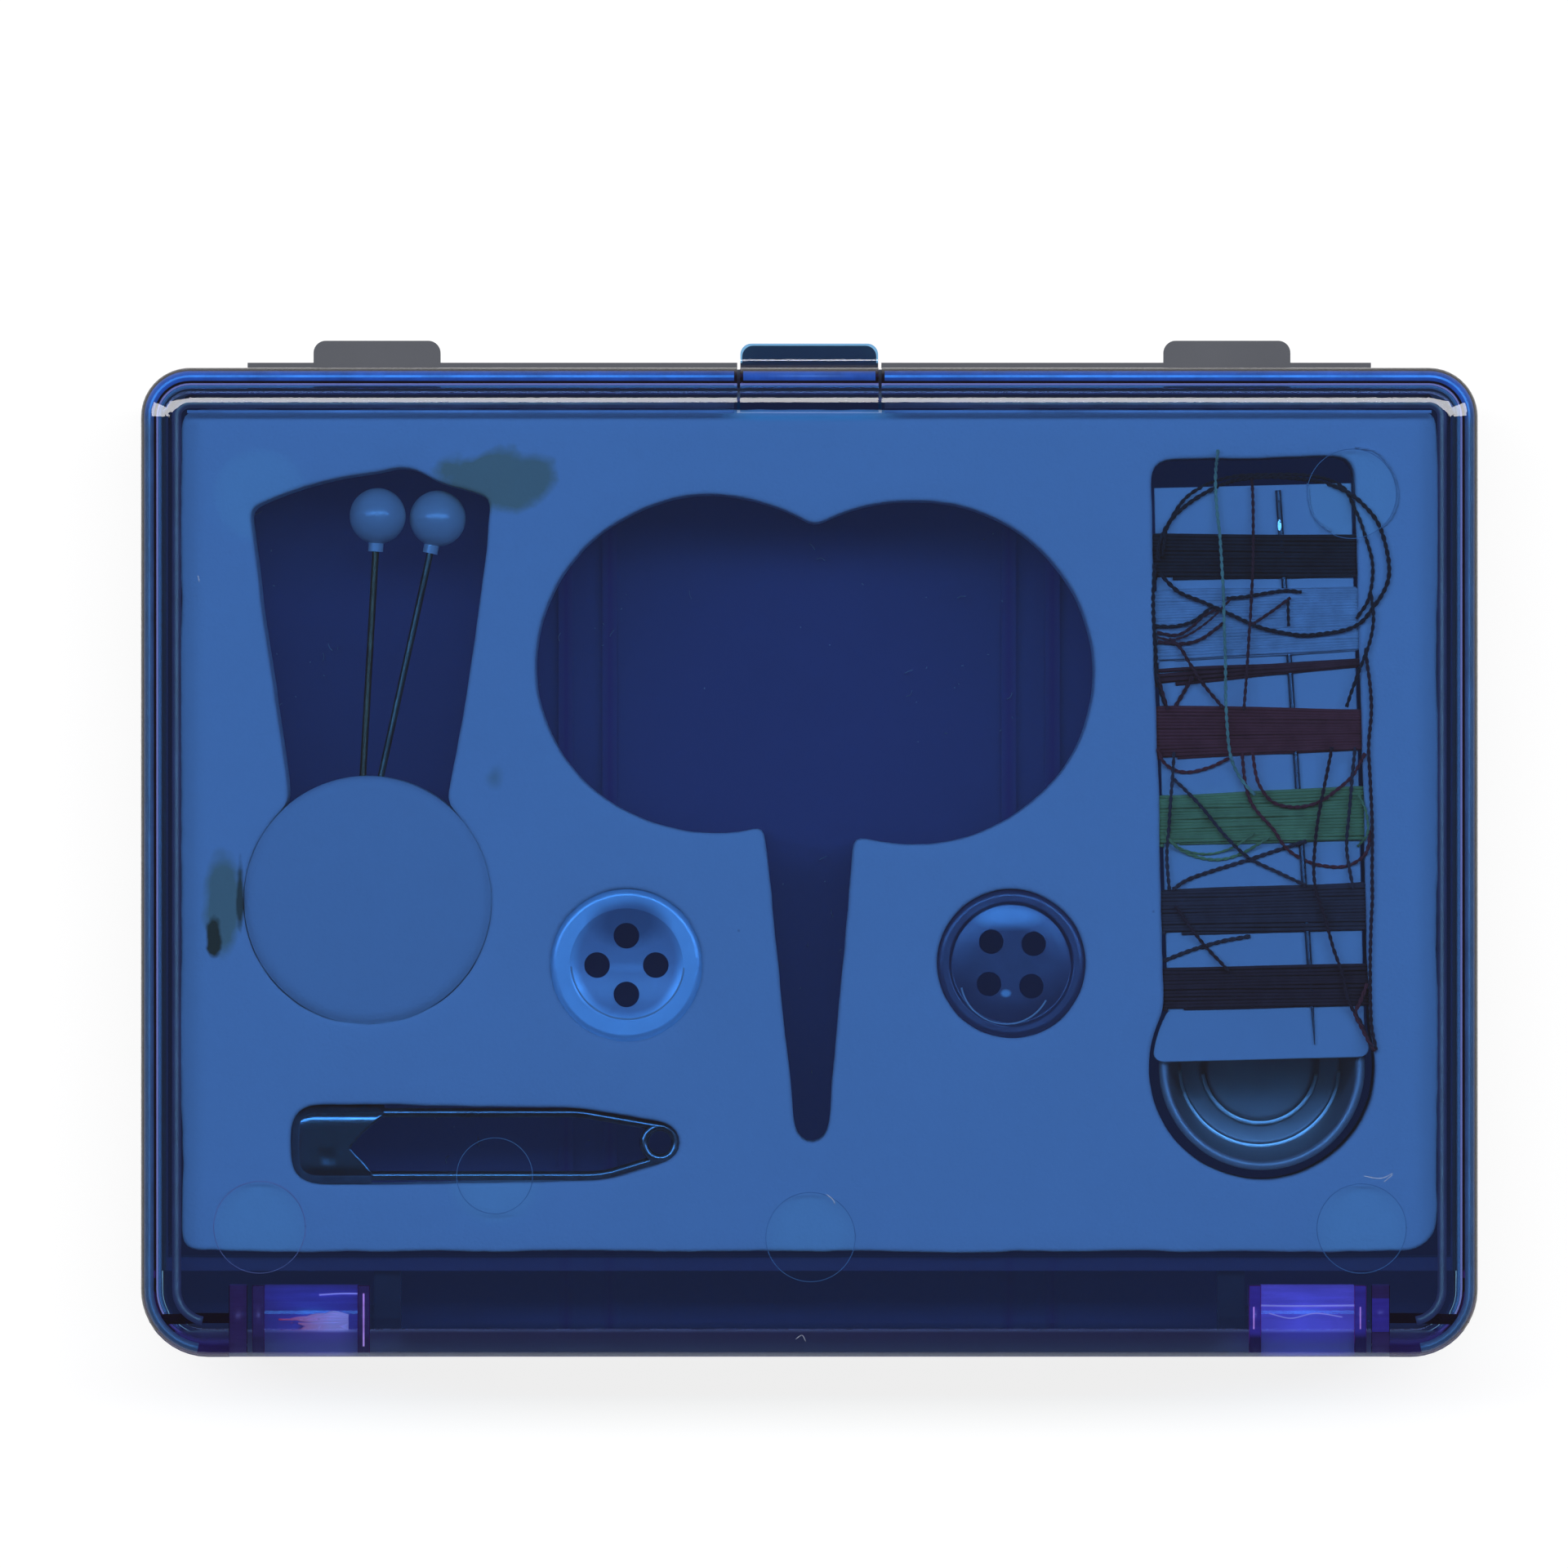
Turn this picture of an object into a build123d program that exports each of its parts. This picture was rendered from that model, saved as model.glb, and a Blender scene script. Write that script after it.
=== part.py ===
from build123d import *
import os
from math import atan2, cos, degrees, hypot, radians, sin

# A pocket sewing kit: a clear blue lid hinged on a smoke-grey tray, with a die-cut foam
# block that grips two buttons, a safety pin, a pincushion with two ball-head pins, a
# wound thread card with its needle, and a thimble. The scissors' pocket is empty.
# Millimetres. X runs along the box, +Y towards the latch, +Z up.
# The origin is on the underside of the tray, at the middle of the box.

os.makedirs("parts", exist_ok=True)

# ------------------------------------------------------------------ the box as a whole
box_width = 109.2
box_depth = 80.8
box_height = 22.0
parting_height = 13.0
front_corner_radius = 4.0
rear_corner_radius = 5.5

# ------------------------------------------------------------------ lid
lid_wall = 1.4
lid_top = 1.5
lid_edge_radius = 1.3
lid_inner_radius = 0.9
crown_run = 2.4
crown_drop = 0.87
crown_radius = 2.5
seam_gap = 0.15
ejector_mark_radius = 3.7
ejector_mark_depth = 0.1
ejector_marks = [(-44.9, -29.8), (0.1, -30.6), (45.1, -29.9), (-25.7, -25.6), (44.3, 30.1), (-44.9, 30.1)]

# ------------------------------------------------------------------ tray
nest_gap = 0.2
tray_wall = 1.1
tray_floor = 1.5
tray_edge_radius = 0.9
rear_wall_top = 18.5
rear_wall_inset = 0.5
lip_height = 4.0
lip_chamfer = 0.3
flange_thickness = 1.5
rim_width = 92.0
rim_reach = 0.5
tab_width = 10.4
tab_reach = 2.3
tab_spacing = 69.6
tab_shift = -0.6
tab_corner = 1.0
rib_height = 0.8
rib_width = 1.2
rib_places = [-20.0, -16.4, 16.4, 20.0]

# ------------------------------------------------------------------ hinge
hinge_inset = 3.2
opening_angle = 115.0
swing_gap = 0.6
barrel_radius = 2.65
barrel_start = 35.9
barrel_width = 9.6
bracket_width = 1.0
cheek_gap = 0.4
cheek_width = 1.5
corner_rib = 0.8
arm_width = 2.2
arm_gap = 0.3
pivot_radius = 1.0
pivot_length = 4.0
pivot_chamfer = 0.3
bore_clearance = 0.05
bore_depth = 8.7

# ------------------------------------------------------------------ latch
tongue_width = 11.3
tongue_slot = 0.25
tongue_root = 3.7
root_gap = 0.05
tongue_end_height = 9.0
ledge_reach = 2.1
ledge_thickness = 1.4
ledge_corner = 0.9
ledge_root_radius = 0.8
hook_reach = 0.15
hook_height = 0.8
hook_bevel = 0.25
catch_reach = 0.35
catch_height = 1.2
catch_bevel = 0.4
catch_clearance = 0.1
shelf_gap = 0.6
shelf_inset = 0.15
shelf_overlap = 1.0

# ------------------------------------------------------------------ foam block
foam_side_gap = 0.6
foam_front_gap = 0.7
foam_rear_gap = 0.5
foam_top_gap = 1.1
foam_corner = 0.9
foam_worn_corner = 2.7
grip = 0.05

# ------------------------------------------------------------------ pockets in the foam
bow_left = (-8.0, 16.2)
bow_left_radii = (14.4, 13.8)
bow_right = (8.4, 15.5)
bow_right_radii = (14.9, 14.1)
blade_top = 6.0
blade_tip = (0.2, -21.6)
blade_tip_radius = 1.4
blade_root_radius = 4.0
fan_left_foot = (-42.2, 3.0)
fan_left_shoulder = (-45.8, 28.9)
fan_crown = (-35.0, 31.9)
fan_notch = (-32.8, 32.3)
fan_step = (-30.7, 31.2)
fan_right_shoulder = (-26.0, 29.9)
fan_right_waist = (-27.3, 18.5)
fan_right_foot = (-30.0, 3.0)
fan_crown_rise = 0.5
keyhole_end_gap = 2.3
keyhole_corner = 1.2

# ------------------------------------------------------------------ pincushion and pins
cushion_centre = (-36.1, -3.1)
cushion_radius = 10.25
cushion_rise = 0.5
cushion_edge_radius = 0.25
ball_radius = 2.3
shaft_radius = 0.28
shaft_length = 33.0
neck_radius = 0.62
neck_reach = 0.6
shaft_point = 1.6
left_ball = (-35.3, 28.3)
left_entry = (-36.5, 7.2)
right_ball = (-30.4, 28.1)
right_entry = (-35.0, 7.2)
left_pin_depth = 2.6
right_pin_depth = 3.5

# ------------------------------------------------------------------ buttons
pearl_centre = (-14.95, -8.4)
pearl_radius = 6.3
pearl_thickness = 2.4
pearl_dish_radius = 4.65
pearl_dish_depth = 0.7
pearl_hole_radius = 1.05
pearl_hole_circle = 2.4
pearl_turn = 0.0
grey_centre = (16.5, -8.3)
grey_radius = 6.17
grey_thickness = 2.6
grey_groove_radius = 4.9
grey_groove_wall = 0.15
grey_groove_round = 0.12
grey_rim_round = 0.15
grey_island_flat = 2.7
grey_island_sink = 0.15
grey_island_fall = 0.22
grey_hole_radius = 1.0
grey_hole_circle = 2.45
grey_turn = 42.0
button_holes = 4
button_edge_radius = 0.6
button_sink = 0.3

# ------------------------------------------------------------------ safety pin
wire_radius = 0.375
clasp_left = -42.4
clasp_top = -19.8
clasp_bottom = -26.3
clasp_length_top = 7.8
clasp_length_bottom = 6.6
clasp_thickness = 2.5
clasp_sheet = 0.3
clasp_corner = 2.0
coil_centre = (-12.2, -22.9)
coil_radius = 1.3
coil_spread = 0.34
top_leg_bend = -18.8
bottom_leg_bend = -16.9
leg_bend_radius = 9.0
pin_sink = 0.6

# ------------------------------------------------------------------ thread card
card_centre = (36.85, 7.3)
card_tilt = 1.45
card_width = 16.1
card_length = 46.9
card_thickness = 0.4
card_corner = 3.0
card_sink = 1.0
wind_face = 0.7
wind_edge = 0.35
wind_corner = 0.3
windings = {
    "thread_black": (17.7, 3.7),
    "thread_white": (12.3, 5.6),
    "thread_wine": (8.4, 1.1),
    "thread_maroon": (3.4, 4.2),
    "thread_green": (-3.6, 4.3),
    "thread_navy": (-11.1, 4.0),
    "thread_brown": (-17.5, 3.5),
}
needle_eye_end = (38.3, 30.4)
needle_point_end = (41.3, -14.9)
needle_radius = 0.24
needle_clearance = 0.04
needle_eye_length = 1.7
needle_eye_width = 0.2
needle_taper = 7.0
needle_tip_radius = 0.04

# ------------------------------------------------------------------ thimble
thimble_centre = (37.0, -16.75)
thimble_well_radius = 9.25
thimble_mouth_radius = 8.25
thimble_end_radius = 7.3
thimble_wall = 0.45
thimble_bead = 0.4
thimble_end_round = 0.9
thimble_dish_radius = 4.7
thimble_dish = 0.5

# ------------------------------------------------------------------ sizes worked out from these
half_width = box_width / 2
half_depth = box_depth / 2
hinge_y = hinge_inset - half_depth
hinge_z = parting_height
lid_under = box_height - lid_top
seam_height = parting_height + seam_gap
wall_inset = lid_wall + nest_gap
cavity_inset = wall_inset + tray_wall
lip_top = parting_height + lip_height
flange_bottom = parting_height - flange_thickness
partition_rear = hinge_y + hinge_inset + swing_gap
partition_front = partition_rear + tray_wall
# The swung lid's rear wall lies this far behind the axis; the tray's rear wall stays under it.
rear_wall_face = wall_inset - hinge_inset
swing_sin = sin(radians(opening_angle))
swing_cos = cos(radians(opening_angle))
trough_top = hinge_z - (hinge_inset + nest_gap + rear_wall_face * swing_cos) / swing_sin
barrel_end = barrel_start + barrel_width
cheek_start = barrel_end + cheek_gap
cheek_end = cheek_start + cheek_width
arm_end = barrel_start - arm_gap
tongue_half = tongue_width / 2
notch_half = tongue_half + tongue_slot
shelf_top = tongue_end_height - shelf_gap
rear_span = cheek_end - rear_wall_inset
low_rear_top = trough_top - cheek_gap
root_y = half_depth - tongue_root
wall_face_y = half_depth - wall_inset
foam_bottom = tray_floor + rib_height
foam_top = lid_under - foam_top_gap
card_top = foam_top - card_sink
card_bottom = card_top - card_thickness
thimble_rim = card_bottom - wind_face
big = 2 * box_width


# ------------------------------------------------------------------ helpers
def prism(outline, low, high):
    """A flat outline, drawn up from one height to another."""
    return extrude(Plane.XY.offset(low) * outline, high - low)


def block(x0, x1, y0, y1, z0, z1):
    """A plain block between two corners."""
    middle = ((x0 + x1) / 2, (y0 + y1) / 2, (z0 + z1) / 2)
    return Pos(*middle) * Box(abs(x1 - x0), abs(y1 - y0), abs(z1 - z0))


def rod_x(x0, x1, y, z, radius):
    """A round bar along X."""
    return Pos((x0 + x1) / 2, y, z) * Rot(0, 90, 0) * Cylinder(radius, abs(x1 - x0))


def side_profile(points, x0, x1):
    """A closed outline in the YZ plane, drawn out along X."""
    return extrude(Plane.YZ.offset(x0) * make_face(Polyline(*points, close=True)), x1 - x0)


def edge_at(edges, y, z):
    """The edge along X whose middle lies nearest to this height and depth."""
    return edges.filter_by(Axis.X).sort_by(lambda e: hypot(e.center().Y - y, e.center().Z - z))[0]


def box_plan(inset):
    """The plan of the box, drawn in by inset, with its own radii at the front and the rear."""
    plan = Rectangle(box_width - 2 * inset, box_depth - 2 * inset)
    plan = fillet(plan.vertices().group_by(Axis.Y)[-1], front_corner_radius - inset)
    return fillet(plan.vertices().group_by(Axis.Y)[0], rear_corner_radius - inset)


def both_sides(half):
    """A feature and its mirror image across the middle of the box."""
    return half + mirror(half, Plane.YZ)


# ------------------------------------------------------------------ tray
def hinge_arm():
    """One arm that reaches back from the partition and carries a pivot stub."""
    low = hinge_z - barrel_radius
    high = hinge_z + barrel_radius
    arm = block(arm_end - arm_width, arm_end, hinge_y, partition_rear, low, high)
    arm += rod_x(arm_end - arm_width, arm_end, hinge_y, hinge_z, barrel_radius)
    stub = rod_x(arm_end, arm_end + pivot_length, hinge_y, hinge_z, pivot_radius)
    stub = chamfer(stub.edges().group_by(Axis.X)[-1], pivot_chamfer)
    return arm + stub


def tab_plan(width, reach, corner):
    """The plan of a flat tab on the front wall, with its outer corners rounded."""
    outline = Rectangle(width, reach + wall_inset, align=(Align.CENTER, Align.MIN))
    outline = fillet(outline.vertices().group_by(Axis.Y)[-1], corner)
    return Pos(0, wall_face_y) * outline


def finger_tab():
    """One of the two tabs that stand out of the flange."""
    outline = Pos(tab_spacing / 2, 0) * tab_plan(tab_width, tab_reach, tab_corner)
    return prism(outline, flange_bottom, parting_height)


def latch_shelf():
    """The shelf under the tongue's ledge; a fingernail goes in between the two."""
    under_ledge = tab_plan(tongue_width - 2 * shelf_inset, ledge_reach - shelf_inset, ledge_corner)
    under_notch = Rectangle(
        2 * (notch_half + shelf_overlap), wall_inset, align=(Align.CENTER, Align.MIN)
    )
    plan = under_ledge + Pos(0, wall_face_y) * under_notch
    return prism(plan, shelf_top - flange_thickness, shelf_top)


def rear_wall():
    """The trough's rear wall, flush with the lid: high between the arms, low behind the barrels."""
    inner = tray_wall - half_depth
    wall = block(-rear_span, rear_span, -half_depth, inner, 0, low_rear_top)
    between = arm_end - arm_width
    wall += block(-between, between, -half_depth, inner, 0, rear_wall_top)
    foot = wall.edges().filter_by(Axis.X).sort_by(lambda e: hypot(e.center().Y + half_depth, e.center().Z))
    return fillet(foot[0], tray_edge_radius)


def flange():
    """The ledge round three sides of the tray that the lid sits on, cut away for the latch."""
    ring = prism(box_plan(0), flange_bottom, parting_height)
    rim = Rectangle(rim_width, lid_wall + rim_reach, align=(Align.CENTER, Align.MIN))
    ring += prism(Pos(0, half_depth - lid_wall) * rim, flange_bottom, parting_height)
    ring += Pos(tab_shift, 0) * both_sides(finger_tab())
    ring -= prism(box_plan(wall_inset), flange_bottom, parting_height)
    ring -= block(-big, big, -half_depth, partition_rear, flange_bottom, parting_height)
    ring -= block(-notch_half, notch_half, wall_face_y, big, flange_bottom, parting_height)
    return ring


def base_tray():
    """Floor, walls with their nesting lip, hinge trough, partition, flange, catch and ribs."""
    shell = prism(box_plan(wall_inset), 0, lip_top)
    shell = fillet(shell.edges().group_by(Axis.Z)[0], tray_edge_radius)
    shell = chamfer(shell.edges().group_by(Axis.Z)[-1], lip_chamfer)
    floor_end = rear_span - tray_wall
    shell += block(-rear_span, rear_span, tray_wall - half_depth, hinge_y, 0, low_rear_top)
    shell -= prism(box_plan(cavity_inset), tray_floor, lip_top)
    shell -= block(-floor_end, floor_end, tray_wall - half_depth, hinge_y, tray_floor, lip_top)
    shell -= block(-big, big, -half_depth, partition_rear, trough_top, lip_top)
    shell += rear_wall() + latch_shelf()
    inside = half_width - cavity_inset + tray_wall / 2
    shell += block(-inside, inside, partition_rear, partition_front, tray_floor, lip_top)
    for place in rib_places:
        left = place - rib_width / 2
        front = wall_face_y - tray_wall
        shell += block(left, left + rib_width, partition_front, front, tray_floor, foam_bottom)
    catch_low = tongue_end_height + hook_height + catch_clearance
    catch = [
        (wall_face_y, catch_low),
        (wall_face_y + catch_reach, catch_low + catch_bevel),
        (wall_face_y + catch_reach, catch_low + catch_height - catch_bevel),
        (wall_face_y, catch_low + catch_height),
    ]
    shell += side_profile(catch, -tongue_half, tongue_half)
    shell += both_sides(hinge_arm())
    return shell + flange()


# ------------------------------------------------------------------ lid
def lid_barrel():
    """One barrel on its two brackets, the cheek beside it and the rib to the side wall."""
    rear = hinge_y - barrel_radius
    front = hinge_y + barrel_radius
    barrel = rod_x(barrel_start, barrel_end, hinge_y, hinge_z, barrel_radius)
    for start in (barrel_start, barrel_end - bracket_width):
        barrel += block(start, start + bracket_width, rear, front, hinge_z, lid_under)
    cheek = rod_x(cheek_start, cheek_end, hinge_y, hinge_z, barrel_radius)
    cheek += block(cheek_start, cheek_end, rear, front, hinge_z, lid_under)
    side = half_width - lid_wall / 2
    rib = block(
        cheek_end, side, hinge_y - corner_rib / 2, hinge_y + corner_rib / 2, hinge_z, lid_under
    )
    bore = rod_x(
        barrel_start, barrel_start + bore_depth, hinge_y, hinge_z, pivot_radius + bore_clearance
    )
    return barrel + cheek + rib - bore


def lid():
    """The clear lid: a crowned plate, three walls, hinge ears, barrels and moulding marks."""
    skirt = hinge_z - hinge_inset
    shell = prism(box_plan(0), skirt, box_height)
    top = shell.faces().sort_by(Axis.Z)[-1]
    shell = chamfer(top.edges(), crown_run, crown_drop, reference=top)
    shell = fillet(shell.edges().group_by(Axis.Z)[-1], crown_radius)
    wall_top = shell.faces().filter_by(Axis.X).sort_by(Axis.X)[-1].edges().sort_by(Axis.Z)[-1]
    rim = [e for e in shell.edges() if abs(e.center().Z - wall_top.center().Z) < seam_gap]
    shell = fillet(rim, lid_edge_radius)
    hollow = prism(box_plan(lid_wall), skirt, lid_under)
    hollow = fillet(hollow.edges().group_by(Axis.Z)[-1], lid_inner_radius)
    shell -= hollow
    below_seam = block(-big, big, -half_depth, half_depth, skirt, seam_height)
    shell -= below_seam - rod_x(-big, big, hinge_y, hinge_z, hinge_inset)
    shell -= block(-cheek_end, cheek_end, -half_depth, hinge_y, skirt, lid_under)
    shell += both_sides(lid_barrel())
    marks = [Pos(x, y) * Circle(ejector_mark_radius) for x, y in ejector_marks]
    for mark in marks:
        shell -= prism(mark, lid_under, lid_under + ejector_mark_depth)
    return shell - block(-notch_half, notch_half, root_y, big, skirt, box_height)


def latch_tongue():
    """The sprung tongue in the middle of the lid's front, with its thumb ledge and hook."""
    inner = half_depth - lid_wall
    hook_tip = wall_face_y + catch_reach + catch_clearance / 2
    hook_root = hook_tip + hook_reach
    tip = tongue_end_height
    profile = [
        (root_y + root_gap, box_height),
        (half_depth - crown_run, box_height),
        (half_depth, box_height - crown_drop),
        (half_depth, tip + ledge_thickness),
        (half_depth + ledge_reach, tip + ledge_thickness),
        (half_depth + ledge_reach, tip),
        (hook_root, tip),
        (hook_tip, tip + hook_bevel),
        (hook_tip, tip + hook_height - hook_bevel),
        (hook_root, tip + hook_height),
        (hook_root, seam_height),
        (inner, lip_top),
        (inner, lid_under),
        (root_y + root_gap, lid_under),
    ]
    tongue = side_profile(profile, -tongue_half, tongue_half)
    ledge_top = tip + ledge_thickness
    tongue = fillet(edge_at(tongue.edges(), half_depth, ledge_top), ledge_root_radius)
    tongue = fillet(edge_at(tongue.edges(), inner, lid_under), lid_inner_radius)
    tongue = fillet(edge_at(tongue.edges(), half_depth - crown_run, box_height), crown_radius)
    tongue = fillet(edge_at(tongue.edges(), half_depth, box_height - crown_drop), lid_edge_radius)
    ledge_corners = tongue.edges().filter_by(Axis.Z).group_by(Axis.Y)[-1]
    return fillet(ledge_corners, ledge_corner)


# ------------------------------------------------------------------ buttons
def dished_face():
    """The pearl button's half section: a rounded rim round a dish that is part of a sphere."""
    sphere_radius = (pearl_dish_radius**2 + pearl_dish_depth**2) / (2 * pearl_dish_depth)
    half = make_face(
        Polyline(
            (0, 0), (pearl_radius, 0), (pearl_radius, pearl_thickness), (0, pearl_thickness), close=True
        )
    )
    half = fillet([v for v in half.vertices() if v.X > pearl_radius / 2], button_edge_radius)
    return half - Pos(0, pearl_thickness - pearl_dish_depth + sphere_radius) * Circle(sphere_radius)


def ringed_face():
    """The grey button's half section: a rim, a groove inside it, and a low island with the holes."""
    island_top = grey_thickness - grey_island_sink
    groove_bottom = island_top - grey_island_fall
    rim_inside = grey_groove_radius + grey_groove_wall
    with BuildSketch() as section:
        with BuildLine():
            Polyline(
                (grey_island_flat, island_top),
                (0, island_top),
                (0, 0),
                (grey_radius, 0),
                (grey_radius, grey_thickness),
                (rim_inside, grey_thickness),
                (grey_groove_radius, groove_bottom),
            )
            TangentArc(
                (grey_island_flat, island_top), (grey_groove_radius, groove_bottom), tangent=(1, 0)
            )
        make_face()
    half = section.sketch
    for place, radius in (
        (grey_radius, button_edge_radius),
        (rim_inside, grey_rim_round),
        (grey_groove_radius, grey_groove_round),
    ):
        corners = [v for v in half.vertices() if abs(v.X - place) < grey_groove_wall / 2]
        half = fillet(corners, radius)
    return half


def button(half, thickness, hole_radius, hole_circle, turn):
    """A four-hole shirt button: its half section spun round, then pierced. It sits on Z = 0."""
    body = revolve(Plane.XZ * half, Axis.Z)
    for place in PolarLocations(hole_circle, button_holes, turn):
        body -= place * Pos(0, 0, thickness / 2) * Cylinder(hole_radius, 2 * thickness)
    return body


# ------------------------------------------------------------------ pincushion and pins
def shaft_line(ball, entry, drop):
    """The pin's place: its ball's centre, its heading in plan and its height."""
    heading = degrees(atan2(entry[1] - ball[1], entry[0] - ball[0]))
    return Pos(ball[0], ball[1], foam_top - drop) * Rot(0, 0, heading) * Rot(0, 90, 0)


def pin_shaft():
    """A straight steel shaft from inside the ball to its sharp end, along +Z."""
    body = Pos(0, 0, (shaft_length - shaft_point) / 2) * Cylinder(
        shaft_radius, shaft_length - shaft_point
    )
    point = Pos(0, 0, shaft_length - shaft_point / 2) * Cone(
        shaft_radius, needle_tip_radius, shaft_point
    )
    return body + point


def pin_head():
    """A ball head with a short neck, pressed over the end of the shaft."""
    neck_end = ball_radius + neck_reach
    head = Sphere(ball_radius) + Pos(0, 0, neck_end / 2) * Cylinder(neck_radius, neck_end)
    return head - pin_shaft()


# ------------------------------------------------------------------ safety pin
def clasp_plan(inset):
    """The plan of the sheet-metal clasp: round at its closed end, slanting at its mouth."""
    top = clasp_top - inset
    bottom = clasp_bottom + inset
    plan = make_face(
        Polyline(
            (clasp_left + inset, top),
            (clasp_left + clasp_length_top, top),
            (clasp_left + clasp_length_bottom, bottom),
            (clasp_left + inset, bottom),
            close=True,
        )
    )
    return fillet(plan.vertices().group_by(Axis.X)[0], clasp_corner - inset)


def safety_pin_clasp():
    """The folded clasp: a flat metal box, open towards the coil."""
    middle = foam_top - pin_sink - clasp_thickness / 2
    low = middle - clasp_thickness / 2
    high = middle + clasp_thickness / 2
    cover = prism(clasp_plan(0), low, high)
    cover = fillet(cover.edges().group_by(Axis.Z)[-1].sort_by(Axis.X)[:-1], clasp_sheet)
    return cover - prism(clasp_plan(clasp_sheet), low + clasp_sheet, high - clasp_sheet)


def leg(points, height):
    """One leg of the wire, with an easy bend near the coil."""
    path = FilletPolyline(*[(x, y, height) for x, y in points], radius=leg_bend_radius)
    start = Plane(origin=path @ 0, z_dir=path % 0)
    return sweep(start * Circle(wire_radius), path=path)


def safety_pin_wire():
    """The sprung wire: two legs and a coil of two turns, one turn for each leg."""
    middle = foam_top - pin_sink - clasp_thickness / 2
    top_y = clasp_top - clasp_sheet - wire_radius
    bottom_y = clasp_bottom + clasp_sheet + wire_radius
    inner_end = clasp_left + clasp_sheet + clasp_corner
    coil_top = (coil_centre[0], coil_centre[1] + coil_radius)
    coil_bottom = (coil_centre[0], coil_centre[1] - coil_radius)
    wire = leg([(inner_end, top_y), (top_leg_bend, top_y), coil_top], middle + coil_spread)
    wire += leg(
        [(inner_end, bottom_y), (bottom_leg_bend, bottom_y), coil_bottom], middle - coil_spread
    )
    for height in (middle - coil_spread, middle + coil_spread):
        wire += Pos(*coil_centre, height) * Torus(coil_radius, wire_radius)
    return wire


# ------------------------------------------------------------------ thread card
needle_run = (needle_point_end[0] - needle_eye_end[0], needle_point_end[1] - needle_eye_end[1])
needle_length = hypot(*needle_run)
needle_heading = degrees(atan2(needle_run[1], needle_run[0]))
needle_place = (
    Pos(*needle_eye_end, card_top + needle_radius) * Rot(0, 0, needle_heading) * Rot(0, 90, 0)
)


def on_card(shape):
    """Places a piece drawn in the card's own frame, whose origin is the card's centre."""
    return Pos(*card_centre) * Rot(0, 0, card_tilt) * shape


def thread_card():
    """The white card, its lower end rounded."""
    plan = Rectangle(card_width, card_length)
    plan = fillet(plan.vertices().group_by(Axis.Y)[0], card_corner)
    return prism(on_card(plan), card_bottom, card_top)


def winding(place, width):
    """One band of thread wound round the card and the needle, as a sleeve that fits both."""
    middle = (card_top + card_bottom) / 2
    sleeve = Box(card_width + 2 * wind_edge, width, card_thickness + 2 * wind_face)
    sleeve = fillet(sleeve.edges().filter_by(Axis.Y), wind_corner)
    sleeve -= Box(card_width, 2 * width, card_thickness)
    channel_half = needle_radius + needle_clearance
    channel = Pos(needle_radius - channel_half, 0, needle_length / 2) * Box(
        2 * channel_half, 2 * channel_half, 2 * needle_length
    )
    return on_card(Pos(0, place, middle) * sleeve) - needle_place * channel


def needle():
    """A sewing needle on the card's face, held under the windings, drawn along its own +Z."""
    straight = needle_length - needle_taper
    body = Pos(0, 0, straight / 2) * Cylinder(needle_radius, straight)
    body += Pos(0, 0, needle_length - needle_taper / 2) * Cone(
        needle_radius, needle_tip_radius, needle_taper
    )
    eye = Box(2 * needle_radius, needle_eye_width, needle_eye_length)
    return needle_place * (body - Pos(0, 0, needle_eye_length) * eye)


# ------------------------------------------------------------------ thimble
def thimble():
    """A drawn thimble, standing on its dished end with a rolled bead at its mouth."""
    low = tray_floor
    inner_floor = low + thimble_wall
    with BuildSketch(Plane.XZ) as section:
        with BuildLine():
            Polyline(
                (0, low + thimble_dish),
                (thimble_dish_radius - thimble_wall, low + thimble_dish),
                (thimble_dish_radius, low),
                (thimble_end_radius, low),
                (thimble_mouth_radius, thimble_rim - thimble_bead),
                (thimble_mouth_radius - thimble_wall, thimble_rim - thimble_bead),
                (thimble_end_radius - thimble_wall, inner_floor),
                (thimble_dish_radius, inner_floor),
                (thimble_dish_radius - thimble_wall, inner_floor + thimble_dish),
                (0, inner_floor + thimble_dish),
                close=True,
            )
        make_face()
        outer_foot = [
            v for v in section.vertices() if abs(v.X - thimble_end_radius) < thimble_wall / 2
        ]
        fillet(outer_foot, thimble_end_round)
    body = revolve(section.sketch, Axis.Z)
    body += Pos(0, 0, thimble_rim - thimble_bead) * Torus(
        thimble_mouth_radius - thimble_wall / 2, thimble_bead
    )
    return Pos(*thimble_centre) * body


# ------------------------------------------------------------------ foam block
def scissors_pocket():
    """Two bows side by side over a tapering blade with a round tip."""
    bows = Pos(*bow_left) * Ellipse(*bow_left_radii)
    bows += Pos(*bow_right) * Ellipse(*bow_right_radii)
    tip_x, tip_y = blade_tip
    blade = make_face(
        Polyline(
            (-blade_root_radius, blade_top),
            (blade_root_radius, blade_top),
            (tip_x + blade_tip_radius, tip_y),
            (tip_x - blade_tip_radius, tip_y),
            close=True,
        )
    )
    return bows + blade + Pos(tip_x, tip_y) * Circle(blade_tip_radius)


def fan_pocket():
    """The fan-shaped pocket above the pincushion, where the ball-head pins lie."""
    middle = (
        (fan_left_shoulder[0] + fan_crown[0]) / 2,
        (fan_left_shoulder[1] + fan_crown[1]) / 2 + fan_crown_rise,
    )
    outline = [
        Line(fan_left_foot, fan_left_shoulder),
        ThreePointArc(fan_left_shoulder, middle, fan_crown),
        ThreePointArc(fan_crown, fan_notch, fan_step),
        Line(fan_step, fan_right_shoulder),
        ThreePointArc(fan_right_shoulder, fan_right_waist, fan_right_foot),
        Line(fan_right_foot, fan_left_foot),
    ]
    return make_face(outline)


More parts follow.
